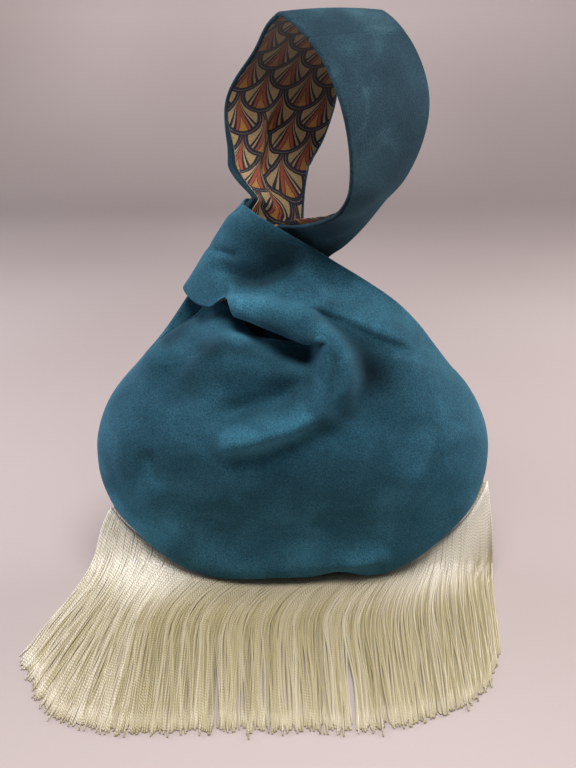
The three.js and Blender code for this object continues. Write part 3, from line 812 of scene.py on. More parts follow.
front, front_quads, front_root, front_cuff = body_sheet(FRONT)
back, back_quads, _, back_cuff = body_sheet(BACK)
front = relax(front, front_quads, near_mouth_line(front, front_quads, FRONT), SMOOTH_ROUNDS)
back = relax(back, back_quads, near_mouth_line(back, back_quads, BACK), SMOOTH_ROUNDS)
print("front sheet has", len(front), "points, back sheet", len(back))

# %% [markdown]
# ### Folds of the front
# The mouth edge of the short handle rolls over a hollow, turns down at its right end and runs back to the
# left. In each table a fold has a height in millimetres, its pixels, its widths to the left and right in
# pixels and the shares of it that fade at its ends. The lines of the roll share one height. A spot has a
# height, its middle pixel and its half widths, and where cloth is smoothed its height is a weight.

# %% Lines of the front folds
BAND_ROLL = [(227, 304), (262, 309), (300, 316), (324, 330)]
INNER_EDGE = [(314, 326), (321, 344), (320, 370), (317, 392), (313, 410), (306, 426)]
OUTER_EDGE = [(298, 313), (318, 325), (334, 340), (345, 357), (346, 380), (339, 405), (324, 428)]
LOW_ROLL = [(328, 384), (325, 402), (316, 417), (290, 430), (250, 442), (208, 451)]
BEHIND_ROLL = [(310, 308), (329, 320), (347, 336), (361, 354), (367, 374)]
BEHIND_ROLL += [(366, 394), (353, 413), (336, 432), (313, 450)]
ROLL_HEIGHT = 11.0
ROLL_LINES = {
    "band": (BAND_ROLL, 12, 24, (0.05, 0.05)),
    "low end": (LOW_ROLL, 8, 25, (0.1, 0.2)),
    "inner edge": (INNER_EDGE, 26, 9, (0.15, 0.18)),
    "outer edge": (OUTER_EDGE, 13, 26, (0.1, 0.3)),
}
ROLL_STARTS_X, ROLL_STARTS_Y = (314, 326), (360, 392)
BESIDE_ROLL = {
    "narrow valley": (-3.0, [(306, 307), (322, 317), (338, 331), (352, 348)], 6, 4, (0.15, 0.4)),
    "valley below": (-2.5, [(214, 466), (262, 457), (300, 443), (324, 430)], 8, 12, (0.2, 0.2)),
    "ridge": (5.0, [(307, 304), (340, 313), (380, 331), (426, 352)], 16, 6, (0.1, 0.3)),
    "valley behind": (-4.5, BEHIND_ROLL, 22, 12, (0.1, 0.3)),
}
PANEL_LINES = {
    "hollow": (-8.0, [(200, 424), (240, 412), (280, 399), (316, 384)], 16, 14),
    "groove in the roll": (-2.5, [(333, 348), (336, 378), (331, 410)], 4, 4),
    "dent at the left": (-2.5, [(146, 446), (152, 468), (164, 494)], 7, 7),
    "crease over the hem": (2.5, [(337, 567), (360, 562), (395, 555)], 10, 6),
}
PANEL_SPOTS = {"swell in the hollow": (4.0, (255, 370), (42, 16))}
LEFT_PULL = {
    "ridge": (4.0, [(212, 318), (172, 343), (134, 380)], 13, 7),
    "valley": (-3.0, [(222, 332), (190, 352), (160, 384)], 10, 14),
}
BAND_LINES = {
    "sag": (-6.0, [(206, 262), (230, 275), (256, 280), (284, 270), (312, 256)], 15, 8, (0.2, 0.3)),
    "top crease": (-2.0, [(206, 249), (224, 252), (242, 258)], 5, 4),
    "edge crease": (-1.8, [(228, 296), (257, 297), (285, 301), (307, 305)], 5, 3, (0.1, 0.2)),
}
POCKET_LINES = {"under the band": (13.0, [(236, 328), (270, 340), (318, 354)], 24, 15, (0.3, 0.1))}
POCKET_SPOTS = {"deep end": (8.0, (298, 350), (22, 14))}
SHOULDER_LINES = {"beside the band": (5.0, [(203, 322), (222, 325), (242, 331)], 9, 9)}
HEM_SPOTS = {"long lift": (5.2, (305, 588), (85, 18)), "short lift": (4.0, (340, 584), (22, 12))}
SMOOTH_SPOTS = {"bend": (0.7, (358, 349), (16, 10)), "end": (0.7, (342, 408), (16, 16))}
ROLL_WAY = np.array([0, -0.92, 0.39])
POCKET_WAY = np.array([0, 0.85, -0.5])
SHOULDER_WAY = np.array([0, -0.85, 0.5])
HEM_WAY = np.array([0, 0.36, 0.93])
print("front has", len(ROLL_LINES) + len(BESIDE_ROLL) + len(PANEL_LINES) + len(BAND_LINES), "main folds")

# %% Folds of the front
DRAW_BACK, DRAW_BACK_HEIGHT, DRAW_BACK_SPREAD = 14, 35, 34
FULLNESS, FULLEST_HEIGHT, FULL_SPREAD = 6, 118, 28
FRONT_WAVES = ((0.5, 45, 3), (0.2, 21, 4))
CLOTH_SOFTNESS = 0.4


def hang_belly(points, on_panel):
    """Two bells over the height, where the belly stands out: fullest at 118 mm and drawn back below."""
    z = points[:, 2]
    out = np.clip((SEAM_FOOT_Y + z * np.tan(LEAN) - points[:, 1]) / MOUTH_DEPTH, 0, 1)
    move = DRAW_BACK * bell(z, DRAW_BACK_HEIGHT, DRAW_BACK_SPREAD)
    move -= FULLNESS * bell(z, FULLEST_HEIGHT, FULL_SPREAD)
    return points + np.array([0, 1, 0]) * tall(move * out * on_panel)


def fold_front(points, quads, root_from, cuff_from):
    """Lifts along the normals, then roll, pocket, hem and shoulder along their own ways, then smoothing."""
    part = np.arange(len(points))
    on_panel, on_cuff = part < root_from, part >= cuff_from
    on_root = ~on_panel & ~on_cuff
    points = hang_belly(points, on_panel)
    view = in_picture(points)
    lift = ripples(points, FRONT_WAVES)
    lift += bells(view, PANEL_LINES, PANEL_SPOTS) * ~on_root
    lift += bells(view, LEFT_PULL) * ~on_cuff + bells(view, BAND_LINES) * on_cuff
    moved = points + point_normals(points, quads) * tall(lift)
    outside = np.maximum(smooth(view[:, 0], *ROLL_STARTS_X), smooth(view[:, 1], *ROLL_STARTS_Y))
    roll = ROLL_HEIGHT * np.max([fold(view, *line) for line in ROLL_LINES.values()], axis=0)
    roll = roll * np.where(on_cuff, 1, outside * ~on_root) + bells(view, BESIDE_ROLL) * ~on_root
    pocket = bells(view, POCKET_LINES, POCKET_SPOTS) * (1 - outside) * ~on_cuff
    moved = moved + ROLL_WAY * tall(roll) + POCKET_WAY * tall(pocket)
    moved = moved + HEM_WAY * tall(bells(view, {}, HEM_SPOTS) * on_panel)
    moved = moved + SHOULDER_WAY * tall(bells(view, SHOULDER_LINES) * on_root)
    moved = relax(moved, quads, hold_edges(np.full(len(points), CLOTH_SOFTNESS), quads), 2)
    return relax(moved, quads, bells(view, {}, SMOOTH_SPOTS), SMOOTH_ROUNDS)


front = fold_front(front, front_quads, front_root, front_cuff)
print("front reaches", np.round(front.min(0), 1), "to", np.round(front.max(0), 1))

# %% Folds of the back
BACK_WAVES = ((0.6, 48, 8), (0.3, 22, 9))
BACK_PULLS = {
    "ridge from the knot": (4.0, [(-30, 140), (-8, 116), (16, 98), (44, 90)], 12, 12),
    "valley over it": (-5.0, [(-14, 150), (0, 128), (24, 112)], 9, 9),
    "valley under it": (-3.0, [(-34, 122), (-10, 98), (12, 84)], 10, 10),
    "shoulder near the knot": (3.0, [(-40, 152), (-66, 132), (-88, 106)], 13, 13),
    "shoulder away from it": (2.5, [(52, 140), (80, 118), (96, 92)], 10, 10),
}


def fold_back(points, quads, cuff_from):
    """Soft pulls that run from the knot down and aside, drawn in millimetres of width and height."""
    lift = ripples(points, BACK_WAVES)
    lift += bells(points[:, [0, 2]], BACK_PULLS) * (np.arange(len(points)) < cuff_from)
    return points + point_normals(points, quads) * tall(lift)


back = fold_back(back, back_quads, back_cuff)
print("back reaches", np.round(back.min(0), 1), "to", np.round(back.max(0), 1))

# %% [markdown]
# ### Painted light and shade on the front
# The velvet's colour carries painted light and shade: the shadow of the loop on the short handle, shade in
# the hollows and under the band, and light on crests and rims. Each mark of the front is drawn as the folds
# are, and its height is the share by which the colour changes.

# %% Painted light and shade of the front
CUFF_SHADOW_LINES = {"along the band": (1.0, [(216, 270), (240, 283), (262, 284), (284, 275), (306, 262)], 17, 8)}
CUFF_SHADOW_SPOTS = {"right": (1.0, (285, 250), (40, 22)), "left": (0.3, (252, 236), (32, 20))}
PAINTED_SHADE_BEHIND = [(312, 310), (338, 328), (360, 349), (369, 374), (367, 404)]
PAINTED_SHADE_LINES = {
    "below the hollow": (0.2, [(232, 420), (266, 413), (306, 402)], 10, 8),
    "behind the roll": (0.4, PAINTED_SHADE_BEHIND, 24, 10, (0.1, 0.3)),
}
PAINTED_SHADE_SPOTS = {
    "hollow": (0.42, (300, 378), (125, 34)),
    "lit middle of the hollow": (-0.6, (248, 388), (28, 14)),
    "right of the roll": (0.22, (388, 402), (50, 42)),
    "left of the hollow": (0.25, (190, 385), (22, 40)),
}
BODY_PAINTED_SHADE_LINES = {
    "under the band": (0.4, [(186, 358), (225, 345), (270, 348)], 12, 10),
    "under the left corner": (0.6, [(196, 310), (178, 332), (156, 352)], 9, 9),
}
BODY_PAINTED_SHADE_SPOTS = {"pocket": (0.25, (302, 344), (24, 8))}
PAINTED_LIGHT_LINES = {
    "low end of the roll": (0.9, [(215, 451), (250, 446), (285, 435), (319, 419)], 14, 9, (0.1, 0.1)),
    "band": (0.2, [(232, 306), (270, 311), (305, 322)], 12, 12, (0.1, 0.1)),
    "ridge": (0.4, [(326, 309), (362, 325), (396, 341)], 7, 5),
    "inner edge": (0.2, INNER_EDGE, 10, 4),
    "outer edge": (0.25, OUTER_EDGE, 5, 9),
    "left rim": (1.1, [(104, 480), (130, 518), (174, 555)], 34, 24, (0.3, 0.2)),
    "hem": (0.35, [(185, 570), (250, 580), (330, 578), (395, 564)], 16, 16),
}
PAINTED_LIGHT_SPOTS = {"right rim": (0.7, (436, 496), (40, 40)), "low belly": (0.2, (270, 535), (150, 50))}
CUFF_PAINTED_LIGHT = {"corner of the band": (1.0, (231, 310), (16, 10))}
BODY_PAINTED_LIGHT = {"under the band": (1.4, (252, 332), (22, 10))}
CUFF_SHADOW_SHARE, PAINTED_SHADE_SHARE, DARKEST_PAINTED_SHADE = 0.7, 1.08, 0.85


def paint_front_light_and_shade(points, cuff_from):
    """Painted shadow of the loop on the short handle, painted shade in hollows and under the band, painted
    light on crests and rims.
    """
    view, on_cuff = in_picture(points), np.arange(len(points)) >= cuff_from
    # Painted shadow of the loop on the short handle, and painted shade in the hollows, beside the roll and
    # under the band.
    dark = CUFF_SHADOW_SHARE * np.clip(bells(view, CUFF_SHADOW_LINES, CUFF_SHADOW_SPOTS), 0, 1) * on_cuff
    dark += bells(view, PAINTED_SHADE_LINES, PAINTED_SHADE_SPOTS)
    dark += bells(view, BODY_PAINTED_SHADE_LINES, BODY_PAINTED_SHADE_SPOTS) * ~on_cuff
    # Painted light on the crests and edges of the folds, on the band, and on the rims and hem.
    light = bells(view, PAINTED_LIGHT_LINES, PAINTED_LIGHT_SPOTS)
    light += bells(view, {}, CUFF_PAINTED_LIGHT) * on_cuff + bells(view, {}, BODY_PAINTED_LIGHT) * ~on_cuff
    return light - np.minimum(PAINTED_SHADE_SHARE * dark, DARKEST_PAINTED_SHADE)


front_painted_light = paint_front_light_and_shade(front, front_cuff)
print("tone runs from", round(float(front_painted_light.min()), 2), "to", round(float(front_painted_light.max()), 2))

# %% Velvet and lining of the body
TURNED_COLUMNS, TURNED_NEAR, TURNED_FAR = 6, 0.3, 0.4
VELVET_FACES, LINING_FACES = (0.0, 1.3), (-0.9, -0.4)


def planar(points):
    """Flat map of the lining print: width and height of the panel."""
    return points[:, [0, 2]]


def turn_in(points, cuff_from):
    """The velvet is turned in along both edges of the short handle, so the lining ends short of them."""
    cuff = points[cuff_from:].reshape(-1, RIGHT_COLUMNS, 3)
    near = mix(cuff[:, [TURNED_COLUMNS]], cuff[:, :TURNED_COLUMNS], TURNED_NEAR)
    far = mix(cuff[:, [-TURNED_COLUMNS - 1]], cuff[:, -TURNED_COLUMNS:], TURNED_FAR)
    cuff = np.concatenate([near, cuff[:, TURNED_COLUMNS:-TURNED_COLUMNS], far], axis=1)
    return np.concatenate([points[:cuff_from], cuff.reshape(-1, 3)])


front_inside, back_inside = turn_in(front, front_cuff), turn_in(back, back_cuff)
bag_front = cloth("velvet_front", front, front_quads, *VELVET_FACES, VELVET_FINISH, painted_light_and_tone=front_painted_light)
bag_back = cloth("velvet_back", back, back_quads, *VELVET_FACES, VELVET_FINISH)
lining_front = cloth("lining_front", front_inside, front_quads, *LINING_FACES, LINING_FINISH, planar(front))
lining_back = cloth("lining_back", back_inside, back_quads, *LINING_FACES, LINING_FINISH, planar(back))
for piece in (bag_front, bag_back, lining_front, lining_back):
    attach(piece, "bag_body")
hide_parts("outer_front_panel", "short_handle_front_outer")
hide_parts("outer_back_panel", "short_handle_back_outer")
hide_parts("lining_front_panel", "short_handle_front_lining")
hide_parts("lining_back_panel", "short_handle_back_lining")
print("body pieces made")

# %% [markdown]
# ## The long handle
# The strap comes out of the knot, turns over in a loop and goes back into it. It is made in two halves
# that meet in a seam near the top. The filler and the lining are narrower sheets made from the grid of
# the velvet. The front strand sinks where it lies on the short handle, and the lining of that strand
# shows a lip there.

# %% Strap sheets
STRAP_COLUMNS, NECK_ROWS, LOOP_ROWS, STRAP_FOOT = 41, 24, 110, -44
JOIN_GAP, MARGIN, BARE_COLUMNS = 0.25, 2, 6.0
INNER_COLUMNS = STRAP_COLUMNS - 2 * MARGIN
SINK, WIDEN, WIDEN_ANGLE = np.array([4.0, 0, -8.5]), np.array([1.0, 0, -0.5]), -58
LIP, LIP_ANGLE, LIP_COLUMNS, BELL_ANGLE = np.array([-1.0, 0, 4.0]), -62, 12, 9
# Painted shade on the underside of the front strand where it goes into the knot, and painted light at the
# foot of the loop.
STRAP_PAINTED_SHADE = {"along the strand": (-0.6, [(306, 216), (345, 205), (388, 188)], 7, 18)}
STRAP_PAINTED_LIGHT = {"foot of the loop": (0.7, (314, 242), (24, 12))}
SHADE_PIXEL, SHADE_SLOPE, SHADE_RANGE, SHADE_DEPTH = (245, 105), 0.5, (12, 48), 0.5
STRAP_INNER, STRAP_OUTER, STRAP_TURNED = -0.2, 1.1, 1.2
FILLER_FACES, STRAP_LINING_FACES = (-0.8, -0.4), (-1.4, -1.0)
STRAP_SOFTNESS, STRAP_ROUNDS = 0.5, 4


def strap_sheet(side):
    """Rows up the neck, then round the loop to the seam: points, quads, flat map and place across."""
    s = np.sin(np.pi / 2 * np.linspace(-1, 1, STRAP_COLUMNS))
    along = np.linspace(STRAP_FOOT, NECK_TOP, NECK_ROWS)[:-1]
    start, end = (LOOP_START, JOIN_ANGLE - JOIN_GAP) if side < 0 else (LOOP_END, JOIN_ANGLE + JOIN_GAP)
    angle = np.linspace(start, end, LOOP_ROWS)
    neck = neck_point(*np.meshgrid(along, s, indexing="ij"), side)
    loop = loop_point(*np.meshgrid(angle, s, indexing="ij"))
    grid = np.concatenate([neck, loop])
    if side < 0:
        low = np.concatenate([smooth(along, 8, 30), 1 - smooth(angle, -66, -46)])[:, None]
        wide = np.concatenate([0 * along, bell(angle, WIDEN_ANGLE, BELL_ANGLE)])[:, None]
        grid = grid + SINK * tall(low) + WIDEN * tall(wide * (1 + s))
    run = run_along(grid[:, STRAP_COLUMNS // 2])
    wide = np.cumsum(np.linalg.norm(np.diff(grid, axis=1, prepend=grid[:, :1]), axis=-1), axis=1)
    wide = wide - wide[:, -1:] / 2
    uv = np.stack([wide, run[:, None] + 0 * wide], -1).reshape(-1, 2)
    return grid.reshape(-1, 3), grid_quads(numbers(grid), side), uv, np.tile(s, len(grid))


def draw_in(grid, side):
    """Narrower sheet by linear steps between columns; the far strand bares its left margin near the knot."""
    rows = np.arange(len(grid))[:, None]
    bare = BARE_COLUMNS * (1 - smooth(rows, NECK_ROWS + 8, NECK_ROWS + 40)) if side > 0 else 0 * rows
    column = mix(MARGIN + bare, STRAP_COLUMNS - 1 - MARGIN, np.linspace(0, 1, INNER_COLUMNS)[None, :])
    first = np.minimum(column.astype(int), STRAP_COLUMNS - 2)
    return mix(grid[rows, first], grid[rows, first + 1], tall(column - first)).reshape(-1, grid.shape[-1])


def show_lip(inner):
    """Left edge of the lining, moved up by a bell along the front strand and a slope across it."""
    angle = np.linspace(LOOP_START, JOIN_ANGLE, LOOP_ROWS)
    along = np.concatenate([np.zeros(NECK_ROWS - 1), bell(angle, LIP_ANGLE, BELL_ANGLE)])
    across = np.clip(1 - np.arange(INNER_COLUMNS) / LIP_COLUMNS, 0, 1)
    return inner + LIP * tall(np.outer(along, across).ravel())


def shade_lining(inner):
    """Painted shadow on the print in the upper left of the loop, beyond a slanting line in the picture."""
    x, y = in_picture(inner).T
    beyond = (x - SHADE_PIXEL[0]) * SHADE_SLOPE + SHADE_PIXEL[1] - y
    return -SHADE_DEPTH * smooth(beyond, *SHADE_RANGE)


strap_pieces = []
for name, side in (("front", FRONT), ("back", BACK)):
    points, quads, uv, s = strap_sheet(side)
    weight = hold_edges(np.full(len(points), STRAP_SOFTNESS), quads)
    points = relax(points, quads, weight, STRAP_ROUNDS)
    inner_face = STRAP_INNER - STRAP_TURNED * smooth(np.abs(s), 0.93, 1.0)
    # Painted shade and painted light on the front strand's velvet.
    strap_painted_light = bells(in_picture(points), STRAP_PAINTED_SHADE, STRAP_PAINTED_LIGHT) * (side < 0)
    velvet = cloth(f"strap_{name}_velvet", points, quads, inner_face, STRAP_OUTER, SHADED_STRAP_VELVET, painted_light_and_tone=strap_painted_light)
    inner, inner_uv = (draw_in(a.reshape(-1, STRAP_COLUMNS, a.shape[1]), side) for a in (points, uv))
    inner_quads = grid_quads(np.arange(len(inner)).reshape(-1, INNER_COLUMNS), side)
    filler = cloth(f"strap_{name}_filler", inner, inner_quads, *FILLER_FACES, FILLER_FINISH)
    inner = show_lip(inner) if side < 0 else inner
    # Painted shadow on the print of the back strand, in the upper left of the loop.
    shade = shade_lining(inner) * (side > 0)
    faces = STRAP_LINING_FACES
    lining = cloth(f"strap_{name}_lining", inner, inner_quads, *faces, LINING_FINISH, inner_uv, shade)
    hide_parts(f"neck_{name}_outer", f"loop_{name}_outer")
    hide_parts(f"loop_{name}_interfacing")
    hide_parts(f"neck_{name}_lining", f"loop_{name}_lining")
    for piece, slot in ((velvet, "velvet"), (filler, "filler"), (lining, "lining")):
        strap_pieces.append(piece)
print("strap pieces:", [p.name for p in strap_pieces])

# %% Bake the transforms of the strap pieces
for piece in strap_pieces:
    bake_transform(piece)

# %% [markdown]
# ## The fringe
# Each cord leaves the lower seam, falls to the table and runs forward along it. It is about 150 mm long,
# and less at both ends of the fringe. The cords are worked out side by side: one step along all of them
# at a time. Neighbours draw together into locks, and each nine cords in a row share a tone. Light is
# painted onto the cords at the left end and on the roots where they leave the seam, with painted shadow
# of the bag on the roots in the middle.

# %% Cord paths
FRINGE_LENGTH, FRINGE_FROM, FRINGE_TO = 150, 204, 348
TAPE_OUT, CORD_RADIUS, CORDS_PER_RUN, CORD_STEPS = 3.4, 0.56, 310, 120
CORD_POINTS, CORD_SIDES, LOCK = 15, 4, 9
LAYERS, PARTING = 4, 0.63
LEFT_SLACK, RIGHT_SLACK, UNEVEN, STRAY = 24, 14, 2.4, 1.6
CORD_LOWEST, CORD_OUT = CORD_RADIUS + 0.1, TAPE_OUT + 0.6
LAYER_BACK, LAYER_STEP, LAYER_RISE, LAYER_SPREAD = 0.9, 0.6, 0.5, 0.4
STEEPEST = 84
START_LEFT, START_RIGHT, START_FAN = 12, 4, 34
END_CORNER, END_LEFT, END_MIDDLE, END_RIGHT = 14, 5, -4, 12
BEND_LEFT, BEND_RIGHT, LEAN_LEFT, LEAN_RIGHT = 30, 10, 0.5, 0.15
LOCK_PULL, SWAY, PARTING_GAP, WAVER = 0.22, 0.6, 2.0, 0.35
LOCK_TONE, CORD_TONE, LEFT_PAINTED_LIGHT, ROOT_PAINTED_SHADOW = 0.36, 0.14, 0.22, 0.5
NEVER_ALONG = np.array([0.5, 0.5, -0.7])
FRINGE_RUNS, FRINGE_SEED = ("left", "centre_left", "centre_right", "right"), 7


def cord_paths(q, rng):
    """Steps of equal length that lean out of the seam, fall, and turn forward as they come near the table."""
    angle = mix(FRINGE_FROM, FRINGE_TO, q)
    out = seam_out(angle)
    layer = np.arange(len(q)) % LAYERS
    p = seam_point(angle) + out * CORD_OUT + BACKWARD * tall(LAYER_BACK - LAYER_STEP * layer)
    floor = CORD_LOWEST + layer * LAYER_RISE + rng.uniform(0, LAYER_SPREAD, len(q))
    slack = LEFT_SLACK * (1 - smooth(q, 0, 0.14)) + RIGHT_SLACK * smooth(q, 0.88, 1)
    length = FRINGE_LENGTH - slack + rng.normal(0, UNEVEN, len(q))
    stray = rng.normal(0, STRAY, len(q))
    first = mix(START_LEFT, START_RIGHT, q) + START_FAN * np.sin(np.pi * q) ** 1.5 + stray
    later = END_CORNER * (1 - smooth(q, 0, 0.24)) + mix(END_LEFT, END_MIDDLE, smooth(q, 0, 0.4))
    later = later + END_RIGHT * q**3 - stray * 0.6
    bend = mix(BEND_LEFT, BEND_RIGHT, q)
    path = [p]
    for i in range(CORD_STEPS):
        heading = np.radians(mix(first, later, smooth(i / CORD_STEPS, 0.05, 0.55)))
        fall = np.radians(STEEPEST * smooth(p[:, 2] - floor, 0, bend))
        go = np.stack([-np.sin(heading) * np.cos(fall), -np.cos(heading) * np.cos(fall), -np.sin(fall)], -1)
        go = unit(mix(go, out, tall(mix(LEAN_LEFT, LEAN_RIGHT, q) * smooth(p[:, 2], 8, 50))))
        p = p + go * tall(length / CORD_STEPS)
        p[:, 2] = np.maximum(p[:, 2], floor)
        path.append(p)
    path = np.stack(path, 1)
    settle = smooth(np.linspace(0, 1, CORD_STEPS + 1), 0.7, 1)
    path[..., 2] = mix(path[..., 2], np.minimum(path[..., 2], CORD_LOWEST), settle)
    return path


def draw_locks(path, q, rng):
    """Cords close on the middle of their lock, sway with their neighbours and stand apart at one parting."""
    count, run = len(path), np.linspace(0, 1, path.shape[1])
    bounds = np.sort(rng.choice(np.arange(2, count - 2), count // LOCK, replace=False))
    lock = np.searchsorted(bounds, np.arange(count), side="right")
    size = np.bincount(lock)
    middle = np.stack([np.bincount(lock, path[:, i, 0]) / size for i in range(path.shape[1])], 1)
    free = (np.arange(count) % LAYERS > 0)[:, None]
    path[:, :, 0] += (middle[lock] - path[:, :, 0]) * LOCK_PULL * smooth(run, 0.1, 0.75) * free
    sway = np.sin(2 * np.pi * (31 * q[:, None] + 0.9 * run))
    sway = sway + np.sin(2 * np.pi * (57 * q[:, None] - 1.3 * run) + 1)
    path[:, :, 0] += SWAY * sway * smooth(run, 0.1, 0.6) * free
    off = (q - PARTING)[:, None]
    path[:, :, 0] += PARTING_GAP * np.sign(off) * np.exp(-np.abs(off) / 0.02) * smooth(run, 0.5, 0.85)
    reach, phase = rng.normal(0, WAVER, (count, 1)), rng.uniform(0, 1, (count, 1))
    path[:, :, 0] += reach * np.sin(2 * np.pi * (2 * run + phase))
    return path


def cord_mesh(path, radius):
    """Square section carried along each path, closed at both ends, with a map of turn and run."""
    keep = np.round(np.linspace(0, 1, CORD_POINTS) ** 1.25 * (path.shape[1] - 1)).astype(int)
    p = path[:, keep]
    rings, turn = rings_along(p, radius, CORD_SIDES, NEVER_ALONG)
    ids = numbers(rings)
    caps = np.concatenate([ids[:, 0][:, ::-1], ids[:, -1]])
    run = np.cumsum(np.linalg.norm(np.diff(p, axis=1, prepend=p[:, :1]), axis=-1), axis=1)
    uv = np.stack(np.broadcast_arrays((1 - np.cos(turn)) / 2, run[:, :, None]), -1).reshape(-1, 2)
    return rings.reshape(-1, 3), np.concatenate([ring_quads(ids), caps]), uv


rng = np.random.default_rng(FRINGE_SEED)
for i, name in enumerate(FRINGE_RUNS):
    q = (np.arange(CORDS_PER_RUN) + rng.uniform(0.2, 0.8, CORDS_PER_RUN)) / CORDS_PER_RUN
    q = (i + q) / len(FRINGE_RUNS)
    path = draw_locks(cord_paths(q, rng), q, rng)
    points, quads, uv = cord_mesh(path, CORD_RADIUS)
    lock_tone = np.repeat(rng.uniform(0, LOCK_TONE, CORDS_PER_RUN // LOCK + 1), LOCK)[:CORDS_PER_RUN]
    # Random tone per lock and per cord, plus painted light on the left end of the fringe.
    flat = lock_tone + rng.uniform(0, CORD_TONE, CORDS_PER_RUN) + LEFT_PAINTED_LIGHT * (1 - smooth(q, 0.03, 0.3))
    # Painted light on the roots where they leave the seam, with painted shadow of the bag over the roots in
    # the middle.
    near = 1 - ROOT_PAINTED_SHADOW * smooth(np.sin(np.pi * q), 0.6, 0.95)
    painted_light_and_tone = mix(near[:, None], flat[:, None], smooth(np.linspace(0, 1, CORD_POINTS), 0.12, 0.55))
    painted_light_and_tone = np.repeat(painted_light_and_tone.ravel(), CORD_SIDES)
    piece = make_piece(f"fringe_run_{name}", points, quads, CORD_FINISH, uv, painted_light_and_tone)
    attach(piece, "bag_body")
    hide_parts(f"fringe_{name}")
print("fringe cords:", len(FRINGE_RUNS) * CORDS_PER_RUN, "with", len(quads) // CORDS_PER_RUN, "faces each")

# %% Header braid and seam threads
BRAID_OUT, BRAID_RADIUS, BRAID_STITCH = 2.0, 1.1, 2.4
SIDE_OUT, SIDE_RADIUS, JOIN_RADIUS, STITCH = 0.3, 0.45, 0.4, 2.5
THREAD_SIDES, THREAD_THIN, THREAD_SWELL, THREAD_END = 8, 0.55, 0.45, 0.05


def stitched_line(name, path, radius, stitch, material):
    """A thread that swells and narrows once for every stitch."""
    swell = THREAD_THIN + THREAD_SWELL * np.abs(np.sin(np.pi * run_along(path) / stitch))
    swell[[0, -1]] = THREAD_END
    rings, _ = rings_along(path, radius * swell, THREAD_SIDES, BACKWARD)
    return make_piece(name, rings.reshape(-1, 3), ring_quads(numbers(rings)), material)


angle = np.linspace(FRINGE_FROM, FRINGE_TO, 420)
path = seam_point(angle) + seam_out(angle) * BRAID_OUT
braid = stitched_line("fringe_braid", path, BRAID_RADIUS, BRAID_STITCH, FILLER_FINISH)
seams = [(braid, "fringe_header_tape", "filler", "bag_body")]
for name, start, end in (("left", 180 - SLIT_ANGLE, FRINGE_FROM), ("right", FRINGE_TO, 360 + SLIT_ANGLE)):
    angle = np.linspace(start, end, 160)
    path = seam_point(angle) + seam_out(angle) * SIDE_OUT
    line = stitched_line(f"side_stitches_{name}", path, SIDE_RADIUS, STITCH, THREAD_FINISH)
    seams.append((line, f"side_seam_{name}", "thread", "bag_body"))
s = np.linspace(-0.95, 0.95, 90)
line = stitched_line("join_stitches", loop_point(JOIN_ANGLE + 0 * s, s), JOIN_RADIUS, STITCH, THREAD_FINISH)
seams.append((line, "loop_join_seam", "thread", "handle_loop"))
for piece, node, slot, body in seams:
    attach(piece, body)
    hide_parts(node)
print("seam pieces:", [p.name for p, *_ in seams])

# %% [markdown]
# ## Stage and light
# A pale floor turns up into a wall far behind the bag. One large soft light hangs above, two weaker ones
# stand at the sides and light the rims of the velvet, and the surroundings give the rest.

# %% Floor and lights
FLOOR_REACH, WALL_START, WALL_TURN, WALL_TOP = 6000, 1100, 500, 3500
WORLD_COLOR, WORLD_STRENGTH = "#d8d2d4", 0.4
LIGHTS = {
    "top_light": ((0.06, -0.45, 1.28), (0, 0, 0.1), 0.8, 26.0, "#fff6f0"),
    "left_light": ((-1.0, 0.4, 0.4), (0, 0, 0.15), 0.7, 10.0, "#f6f4ff"),
    "right_light": ((1.0, 0.4, 0.4), (0, 0, 0.15), 0.7, 12.0, "#fff8f4"),
}


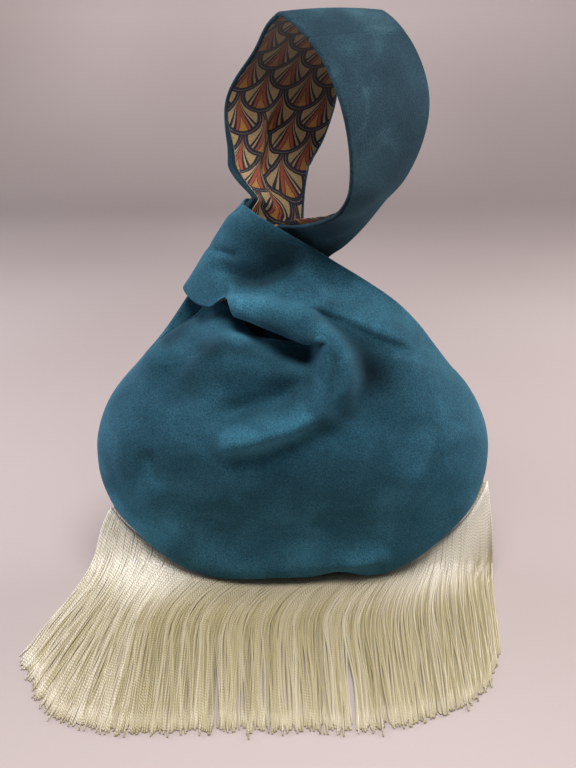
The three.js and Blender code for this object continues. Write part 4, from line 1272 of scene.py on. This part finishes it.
def stage_finish():
    """Faint mottle times painted light: a grey that lightens from the floor to 0.3 m up the wall."""
    material, tree, shader = new_finish("pale_paper", Roughness=0.6, Specular_IOR_Level=0.3)
    place = add(tree, "TexCoord", out="Object")
    mottle = add(tree, "TexNoise", {"Vector": place, "Scale": 2.0, "Detail": 1.0})
    color = set_ramp(add(tree, "ValToRGB", {"Fac": mottle}), [(0.3, "#f0e3e3"), (0.7, "#fff3f3")])
    height = add(tree, "SeparateXYZ", [place], out=2)
    # Painted light: a darker grey on the floor, lighter up the wall.
    painted_wall_light = set_ramp(add(tree, "ValToRGB", {"Fac": height}), [(0.0, "#a3a3a3"), (0.3, "#cecece")])
    color = mix_colors(tree, 1.0, color, painted_wall_light, "MULTIPLY")
    tree.links.new(color, shader.inputs["Base Color"])
    return material


def make_backdrop():
    """Floor that turns up into a wall: a line, a quarter circle of 0.5 m and a line, carried along X."""
    turn = np.radians(np.linspace(0, 90, 13))
    y = np.concatenate([[-FLOOR_REACH], WALL_START + WALL_TURN * np.sin(turn), [WALL_START + WALL_TURN]])
    z = np.concatenate([[0], WALL_TURN - WALL_TURN * np.cos(turn), [WALL_TOP]])
    x = np.linspace(-FLOOR_REACH, FLOOR_REACH, 9)
    grid = np.stack(np.broadcast_arrays(x[None, :], y[:, None], z[:, None]), -1)
    return make_piece("studio_backdrop", grid.reshape(-1, 3), grid_quads(numbers(grid)), stage_finish())


def soft_light(name, place, target, size, power, code):
    """Round area light that faces its target: metres, watts and a hex colour."""
    data = bpy.data.lights.new(name, "AREA")
    data.shape, data.size, data.energy = "DISK", size, power
    data.color = linear(code)[:3]
    light = bpy.data.objects.new(name, data)
    light.location = place
    way = np.array(target) - np.array(place)
    flat = np.hypot(way[0], way[1])
    light.rotation_euler = (np.arctan2(flat, -way[2]), 0, np.arctan2(way[1], way[0]) - np.pi / 2)
    bpy.context.scene.collection.objects.link(light)


make_backdrop()
for name, values in LIGHTS.items():
    soft_light(name, *values)
world = bpy.data.worlds.new("studio")
bpy.context.scene.world = world
world.use_nodes = True
world.node_tree.nodes["Background"].inputs["Color"].default_value = linear(WORLD_COLOR)
world.node_tree.nodes["Background"].inputs["Strength"].default_value = WORLD_STRENGTH
bpy.context.scene.view_settings.view_transform = "Standard"
print("stage and lights set")
